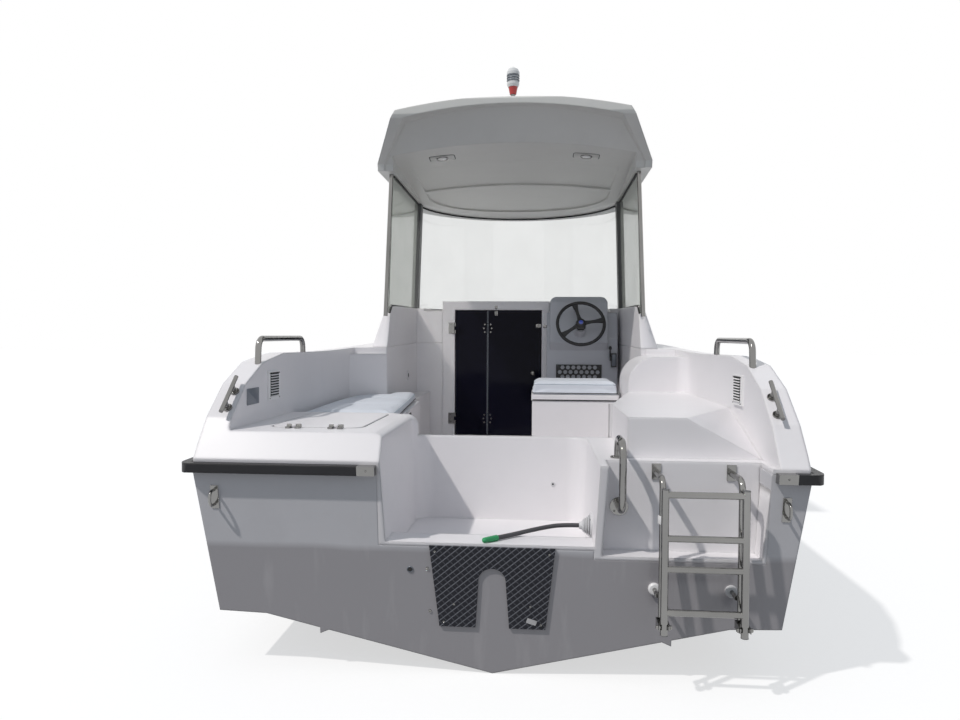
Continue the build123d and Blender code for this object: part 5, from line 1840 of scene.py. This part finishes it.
@dataclass
class Cockpit:
    """Small fittings of the cockpit, well and transom.

    Attributes:
        louvre_count: Blades in one vent.
        louvre_pitch: Distance between blades.
        astern: Distance, aft of the transom, where lines of sight at it start.
        pad_screws: Across and height of the motor pad's screws.
        studs: Across and height of the transom's studs.
        label: Across and height of the pad's bare label.
        label_turn: How far the label leans, in degrees.
        locker_seal: Low and high corners of the locker's seal, across and forward.
        locker_seal_height: Height of that seal.
    """

    louvre_count: int = 9
    louvre_pitch: float = 0.011
    astern: float = -0.3
    pad_screws: tuple[Flat, ...] = ((0.200, 0.206), (0.172, -0.056), (0.135, 0.012))
    studs: tuple[Flat, ...] = ((-0.229, 0.140), (-0.222, -0.020))
    label: Flat = (0.139, -0.045)
    label_turn: float = -18.0
    locker_seal: tuple[Flat, Flat] = ((-0.852, 0.188), (-0.498, 0.717))
    locker_seal_height: float = 0.6125

    def build(self) -> None:
        """Builds the fittings one by one."""
        self.build_vents()
        self.build_wall_socket()
        self.build_plate()
        self.build_pull()
        self.build_drains()
        self.build_pad_bolts()
        self.build_lids()

    def build_vents(self) -> None:
        """Builds the vents' throats, dark sheets of painted shade behind the blades, and their
        slanted blades and corner screws.
        """
        for node, side in (("vent_port", 1.0), ("vent_starboard", -1.0)):
            low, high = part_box(node)
            face = high[0] if side > 0 else low[0]
            middle = (low[1] + high[1]) / 2.0
            points = []
            for number in range(self.louvre_count):
                height = low[2] + 0.0185 + number * self.louvre_pitch
                points.append((Vector((face + side * 0.002, middle, height - 0.002)), FORWARD))
            values = {
                "Size": (high[1] - low[1] - 0.034, 0.0062, 0.0016),
                "Tilt": (side * 0.6, 0.0, 0.0),
                "Finish": MATERIALS["vent_white"],
            }
            REPEATS.grow(f"{node}_blades", REPEATS.blades, points, values, Body.BOAT)
            tall = (self.louvre_count + 0.2) * self.louvre_pitch
            centre = Vector(
                (face, middle, low[2] + 0.0145 + self.louvre_count * self.louvre_pitch / 2.0)
            )
            place = plane_at(centre, Vector((side, 0.0, 0.0)))
            # Painted shade: a dark sheet on the vent's face stands for the shade inside its
            # opening.
            MeshMaker.slab(
                f"{node}_throat", (high[1] - low[1] - 0.030, tall), 0.004, (-0.001, 0.0008, 0.0),
                place, "hole_dark", Body.BOAT,
            )
            corners = [
                (Vector((face, y, z)), Vector((side, 0.0, 0.0)))
                for y in (low[1] + 0.009, high[1] - 0.009)
                for z in (low[2] + 0.008, high[2] - 0.008)
            ]
            REPEATS.screw_set(f"{node}_screws", corners, 0.0035, Body.BOAT)

    def build_wall_socket(self) -> None:
        """Builds the round outlet in the pilothouse's port side."""
        spot, normal = land("deck", (-0.55, sit(2.44), 0.703), TO_PORT)
        place = plane_at(spot, normal)
        MeshMaker.turned(
            "wall_outlet",
            [
                (0.0, -0.002), (0.034, -0.002), (0.034, 0.002), (0.031, 0.004), (0.017, 0.0045),
                (0.015, 0.002), (0.0, 0.002),
            ],
            place,
            36,
            "gelcoat_white",
            Body.BOAT,
        )
        # Painted shade: the mouth is a dark disc for the shade inside the outlet.
        MeshMaker.turned(
            "outlet_mouth",
            [(0.0, 0.0015), (0.0145, 0.0015), (0.0145, 0.0032), (0.0, 0.0026)],
            place,
            28,
            "hole_dark",
            Body.BOAT,
        )

    def build_plate(self) -> None:
        """Builds the plain dark plate beside the port vent."""
        spot, normal = land("deck", (-0.7, sit(0.290), 0.722), TO_PORT)
        place = plane_at(spot, normal)
        MeshMaker.slab(
            "side_plate", (0.118, 0.064), 0.006, (-0.001, 0.0025, 0.001), place, "slate_plate",
            Body.BOAT,
        )

    def build_pull(self) -> None:
        """Builds the finger pull in the port bench's side."""
        spot, normal = land("deck", (-0.2, sit(1.356), 0.540), TO_PORT)
        place = plane_at(spot, normal)
        MeshMaker.slab(
            "bench_pull", (0.070, 0.030), 0.010, (-0.001, 0.004, 0.0015), place, "black_plastic",
            Body.BOAT,
        )
        MeshMaker.slab(
            "bench_pull_slot", (0.044, 0.012), 0.005, (0.003, 0.0055, 0.001), place, "slate_plate",
            Body.BOAT,
        )

    def build_drains(self) -> None:
        """Builds the drain in the well's front and the outlet in the transom."""
        for name, node, start, size, mouth in (
            ("well_drain", "deck", (0.224, sit(0.4), 0.318), 0.010, 0.004),
            ("transom_outlet", "hull", (-0.290, sit(self.astern), 0.135), 0.012, 0.0085),
        ):
            spot, normal = land(node, start, FORWARD)
            place = plane_at(spot, normal)
            MeshMaker.turned(
                name,
                [
                    (0.0, -0.002), (size, -0.002), (size, 0.0015), (size * 0.9, 0.003),
                    (mouth * 1.1, 0.0032), (mouth, 0.001), (0.0, 0.001),
                ],
                place,
                28,
                "boot_white" if node == "deck" else "slate_plate",
                Body.BOAT,
            )
            # Painted shade: each mouth is a dark disc for the shade inside the drain.
            MeshMaker.turned(
                f"{name}_mouth",
                [(0.0, 0.0006), (mouth * 0.97, 0.0006), (mouth * 0.97, 0.0018), (0.0, 0.0014)],
                place,
                24,
                "hole_dark",
                Body.BOAT,
            )

    def build_pad_bolts(self) -> None:
        """Builds the motor pad's screws, its bare label and the two studs beside it."""
        pad = []
        for x, z in self.pad_screws:
            for side in (-1.0, 1.0):
                pad.append(land("engine_pad", (side * x, sit(self.astern), z), FORWARD))
        REPEATS.screw_set("pad_screws", pad, 0.0046, Body.BOAT)
        studs = [land("hull", (x, sit(self.astern), z), FORWARD) for x, z in self.studs]
        REPEATS.screw_set("transom_studs", studs, 0.0065, Body.BOAT)
        x, z = self.label
        spot, normal = land("engine_pad", (x, sit(self.astern), z), FORWARD)
        place = plane_at(spot, normal) @ Matrix.Rotation(math.radians(self.label_turn), 4, "Z")
        MeshMaker.slab(
            "bare_label", (0.036, 0.019), 0.003, (-0.001, 0.0016, 0.0006), place, "label_bare",
            Body.BOAT,
        )

    def build_lids(self) -> None:
        """Builds the rubber seals under the locker's and the seat's lids."""
        low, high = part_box("helm_seat_lid")
        form = bmesh.new()
        line = [
            Vector((x, y, low[2] + 0.0028))
            for x, y in rounded(
                [
                    (low[0] + 0.004, low[1] + 0.003),
                    (high[0] - 0.004, low[1] + 0.003),
                    (high[0] - 0.004, low[1] + 0.415),
                    (low[0] + 0.004, low[1] + 0.415),
                ],
                0.008,
            )
        ]
        MeshMaker.tube(form, line, 0.0045, 8, closed=True)
        MeshMaker.keep("seat_lid_seal", form, "gasket_black", Body.SEAT_LID, 60.0)
        form = bmesh.new()
        (port, near), (inner, far) = self.locker_seal
        corners = [(port, sit(near)), (inner, sit(near)), (inner, sit(far)), (port, sit(far))]
        line = [Vector((x, y, self.locker_seal_height)) for x, y in rounded(corners, 0.052, 8)]
        MeshMaker.tube(form, line, 0.0017, 8, closed=True)
        MeshMaker.keep("locker_lid_seal", form, "gasket_black", Body.BOAT, 60.0)


@dataclass
class Outside:
    """Fittings on the ladder, rails, handles and foredeck.

    Attributes:
        frame_distance: Distance of the ladder's fixed tubes from the transom's top.
        rail_distance: Distance of its folding rails.
        rail_x: Places of its two rails across the boat.
        rail_ends: Heights of the rails' capped ends, and the way each cap looks.
        pivot_height: Height of the pivot that the rails turn on.
        foot_height: Height of the rubber feet on the transom.
        transom_top: Height of the transom's edge over the feet.
        rake: Lean of the transom, in degrees.
        handle_x: Place of the grab handle across the boat.
        handle_flange: Radius of the circle of screws in its upper flange.
        hatch_distance: Distance of the foredeck hatch's middle.
    """

    frame_distance: float = -0.0074
    rail_distance: float = -0.0574
    rail_x: tuple[float, float] = (0.574, 0.833)
    rail_ends: tuple[tuple[float, float, str], ...] = ((0.462, 1.0, "top"), (-0.022, -1.0, "low"))
    pivot_height: float = 0.005
    foot_height: float = 0.092
    transom_top: float = 0.512
    rake: float = 8.5
    handle_x: float = 0.445
    handle_flange: float = 0.0195
    hatch_distance: float = 4.24

    def build(self) -> None:
        """Builds the fittings one by one."""
        self.build_ladder()
        self.build_flanges()
        self.build_hatch()

    def build_ladder(self) -> None:
        """Builds the ladder's white clip, rubber feet, end caps and pivot nuts."""
        frame_y = sit(self.frame_distance)
        rail_y = sit(self.rail_distance)
        lean = (self.transom_top - self.foot_height) * math.tan(math.radians(self.rake))
        upright = plane_at(Vector((self.rail_x[0], frame_y, 0.335)), UP, FORWARD)
        MeshMaker.turned(
            "ladder_clip",
            [
                (0.0112, 0.0), (0.0145, 0.0), (0.0155, 0.003), (0.0155, 0.024), (0.0145, 0.027),
                (0.0112, 0.027),
            ],
            upright,
            24,
            "vent_white",
            Body.BOAT,
        )
        for x, name in zip(self.rail_x, ("port", "starboard")):
            spot = Vector((x - 0.014, sit(lean) - 0.001, self.foot_height))
            place = plane_at(spot, AFT)
            MeshMaker.turned(
                f"ladder_foot_{name}",
                [
                    (0.0, -0.004), (0.0205, -0.004), (0.0215, 0.003), (0.0205, 0.010),
                    (0.0165, 0.0135), (0.0, 0.0145),
                ],
                place,
                32,
                "vent_white" if name == "port" else "boot_white",
                Body.BOAT,
            )
            for height, facing, label in self.rail_ends:
                place = plane_at(Vector((x, rail_y, height)), Vector((0.0, 0.0, facing)), FORWARD)
                MeshMaker.turned(
                    f"rail_cap_{label}_{name}",
                    [
                        (0.0, -0.002), (0.0128, -0.002), (0.0130, -0.0005), (0.0118, 0.0),
                        (0.0, 0.0002),
                    ],
                    place,
                    28,
                    "black_frame",
                    Body.LADDER,
                )
        nuts = []
        for x in self.rail_x:
            for side in (-1.0, 1.0):
                nuts.append(
                    (
                        Vector((x + side * 0.0225, rail_y, self.pivot_height)),
                        Vector((side, 0.0, 0.0)),
                    )
                )
        REPEATS.screw_set("pivot_nuts", nuts, 0.0075, Body.BOAT)

    def build_flanges(self) -> None:
        """Builds the screws of the grab handle, ladder brackets and rail caps."""
        points = []
        for node, x, distance, z, spread in (
            ("grab_handle", self.handle_x, -0.3, 0.360, 0.024),
            ("ladder_frame", self.rail_x[0], -0.3, 0.440, 0.011),
            ("ladder_frame", self.rail_x[1], -0.3, 0.440, 0.011),
        ):
            for angle in (45.0, 135.0, 225.0, 315.0):
                side = spread * math.cos(math.radians(angle))
                rise = spread * math.sin(math.radians(angle))
                try:
                    spot, normal = land(node, (x + side, sit(distance), z + rise), FORWARD)
                except ValueError:
                    continue
                if normal.y < -0.9:
                    points.append((spot, normal))
        for angle in (0.0, 90.0, 180.0, 270.0):
            x = self.handle_x + self.handle_flange * math.cos(math.radians(angle))
            distance = 0.190 + self.handle_flange * math.sin(math.radians(angle))
            spot, normal = land("grab_handle", (x, sit(distance), 0.56), DOWN)
            if normal.z > 0.9:
                points.append((spot, normal))
        for x in (-0.430, 0.975):
            try:
                spot, normal = land("rail_caps", (x, sit(-0.4), 0.495), FORWARD)
            except ValueError:
                continue
            points.append((spot, normal))
        REPEATS.screw_set("flange_screws", points, 0.0042, Body.BOAT)

    def build_hatch(self) -> None:
        """Builds the foredeck hatch's tinted pane, its rim and its two turn handles."""
        spot, normal = land("hatch_lid", (0.0, sit(self.hatch_distance), 1.6), DOWN)
        place = plane_at(spot, normal, FORWARD)
        MeshMaker.slab(
            "hatch_rim", (0.40, 0.40), 0.045, (-0.002, 0.003, 0.002), place, "label_bare",
            Body.HATCH,
        )
        MeshMaker.slab(
            "hatch_pane", (0.34, 0.34), 0.035, (0.001, 0.0055, 0.002), place, "smoked_black",
            Body.HATCH,
        )
        for side, name in ((-1.0, "port"), (1.0, "starboard")):
            turn = place @ Matrix.Translation((side * 0.11, -0.12, 0.005))
            form = bmesh.new()
            MeshMaker.lathe(
                form,
                [(0.0, 0.0), (0.016, 0.0), (0.0165, 0.004), (0.012, 0.008), (0.0, 0.0085)],
                turn,
                24,
            )
            MeshMaker.plate(
                form, rounded(rectangle(0.040, 0.010), 0.004), 0.006, 0.014, turn, 0.002
            )
            MeshMaker.keep(f"hatch_handle_{name}", form, "black_plastic", Body.HATCH)


HELM_CUSHION = Cushion(
    node="helm_cushion",
    body=Body.SEAT_LID,
    outline=((0.122, 1.760), (0.618, 1.760), (0.618, 2.160), (0.122, 2.160)),
    low=0.6306,
    high=0.703,
    corner=0.022,
    edge=0.020,
    voxel=0.006,
    swell=0.008,
    fill=0.8,
)
BENCH_CUSHION = Cushion(
    node="bench_cushion",
    body=Body.BOAT,
    outline=(
        (-0.933, 0.763), (-0.492, 0.763), (-0.600, 2.000), (-0.741, 2.000), (-0.753, 1.880),
        (-0.933, 1.700),
    ),
    low=0.5723,
    high=0.614,
    corner=0.018,
    edge=0.014,
    voxel=0.0075,
    swell=0.007,
    fill=0.75,
    panels=(1.18, 1.58),
)


def dress_nodes() -> None:
    """Gives every CAD node the material of its slot."""
    slots = {row["node"]: row["material_slot"] for row in frame["record"]["subparts"]}
    for name, node in frame["nodes"].items():
        node.data.materials.clear()
        finish = slots[name]
        if name.startswith("vent_"):
            finish = "vent_white"
        elif name.startswith("side_window_"):
            finish = "side_glass"
        node.data.materials.append(MATERIALS[finish])


def make_camera() -> None:
    """Makes the camera at the photograph's view, for a frame of 960 by 720."""
    data = bpy.data.cameras.new("photo_camera")
    camera = add_object("photo_camera", data)
    data.sensor_width = SENSOR_WIDTH
    data.lens = FOCAL_LENGTH / PHOTO_WIDTH * SENSOR_WIDTH
    data.clip_start = 0.05
    data.clip_end = 200.0
    across, distance, height = CAMERA_PLACE
    camera.location = (across, sit(distance), height)
    yaw = math.atan2(VANISHING_X - PHOTO_WIDTH / 2.0, FOCAL_LENGTH)
    pitch = math.atan2(PHOTO_HEIGHT / 2.0 - VANISHING_Y, FOCAL_LENGTH)
    ahead = Vector(
        (-math.sin(yaw) * math.cos(pitch), math.cos(yaw) * math.cos(pitch), -math.sin(pitch))
    )
    camera.rotation_mode = "QUATERNION"
    camera.rotation_quaternion = ahead.to_track_quat("-Z", "Y") @ Quaternion(
        (0.0, 0.0, 1.0), CAMERA_ROLL
    )
    bpy.context.scene.camera = camera


class Stage:
    """The plain pale floor, the sky light and the sun.

    Attributes:
        sun_heading: The way the sunlight goes.
        sun_strength: Its strength.
        sky_strength: The sky light's strength.
    """

    sun_heading: Point = (0.62, 0.50, -1.0)
    sun_strength: float = 2.15
    sky_strength: float = 0.46

    @staticmethod
    def pale_rays(tree: NodeTree) -> bpy.types.NodeSocket:
        """Returns a mask of the rays that see the background: direct, mirrored, through glass."""
        path = tree.add("ShaderNodeLightPath")
        seen = tree.math(
            "MAXIMUM", path.outputs["Is Camera Ray"], path.outputs["Is Transmission Ray"]
        )
        return tree.math("MAXIMUM", seen, path.outputs["Is Glossy Ray"])

    def build_floor(self) -> None:
        """Builds the floor, which looks white and keeps a soft shadow."""
        floor_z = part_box("hull")[0][2]
        mesh = bpy.data.meshes.new("floor")
        reach = 60.0
        corners = [
            (-reach, -reach, floor_z),
            (reach, -reach, floor_z),
            (reach, reach, floor_z),
            (-reach, reach, floor_z),
        ]
        mesh.from_pydata(corners, [], [(0, 1, 2, 3)])
        floor = add_object("floor", mesh)
        material = bpy.data.materials.new("floor")
        material.use_nodes = True
        tree = NodeTree(material.node_tree)
        shader = material.node_tree.nodes["Principled BSDF"]
        shader.inputs["Roughness"].default_value = 0.9
        shader.inputs["Specular IOR Level"].default_value = 0.0
        noise = tree.add("ShaderNodeTexNoise")
        noise.inputs["Scale"].default_value = 0.6
        pale = tree.blend(noise.outputs["Fac"], (0.42, 0.42, 0.42), (0.44, 0.44, 0.44))
        seen = self.pale_rays(tree)
        tree.link(tree.blend(seen, (0.20, 0.20, 0.205), pale), shader.inputs["Base Color"])
        shader.inputs["Emission Color"].default_value = (1.0, 1.0, 1.0, 1.0)
        tree.link(tree.math("MULTIPLY", seen, 0.62), shader.inputs["Emission Strength"])
        mesh.materials.append(material)

    def build_sky(self) -> None:
        """Builds the world: cool soft light, and white where it is seen."""
        world = bpy.data.worlds.new("studio")
        world.use_nodes = True
        bpy.context.scene.world = world
        tree = NodeTree(world.node_tree)
        background = world.node_tree.nodes["Background"]
        seen = self.pale_rays(tree)
        cool = tuple(channel * self.sky_strength for channel in (0.80, 0.89, 1.0))
        tree.link(tree.blend(seen, cool, (1.0, 1.0, 1.0)), background.inputs["Color"])

    def build_sun(self) -> None:
        """Builds the sun, high to port and a little astern."""
        data = bpy.data.lights.new("sun", "SUN")
        data.energy = self.sun_strength
        data.angle = math.radians(1.6)
        data.color = (1.0, 0.965, 0.93)
        light = add_object("sun", data)
        light.rotation_mode = "QUATERNION"
        light.rotation_quaternion = Vector(self.sun_heading).to_track_quat("-Z", "Y")

    def build(self) -> None:
        """Builds the whole stage."""
        self.build_floor()
        self.build_sky()
        self.build_sun()
        bpy.context.scene.view_settings.view_transform = "Standard"


def main() -> None:
    """Builds the whole scene."""
    logging.basicConfig(level=logging.INFO)
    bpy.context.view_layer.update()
    make_camera()
    Stage().build()
    SteeringCable().build()
    dress_nodes()
    for part in (
        CabinDoor(), HelmStation(), Roof(), Cockpit(), Outside(), HELM_CUSHION, BENCH_CUSHION
    ):
        part.build()
        LOG.info("finished %s", type(part).__name__)


if __name__ == "__main__":
    main()
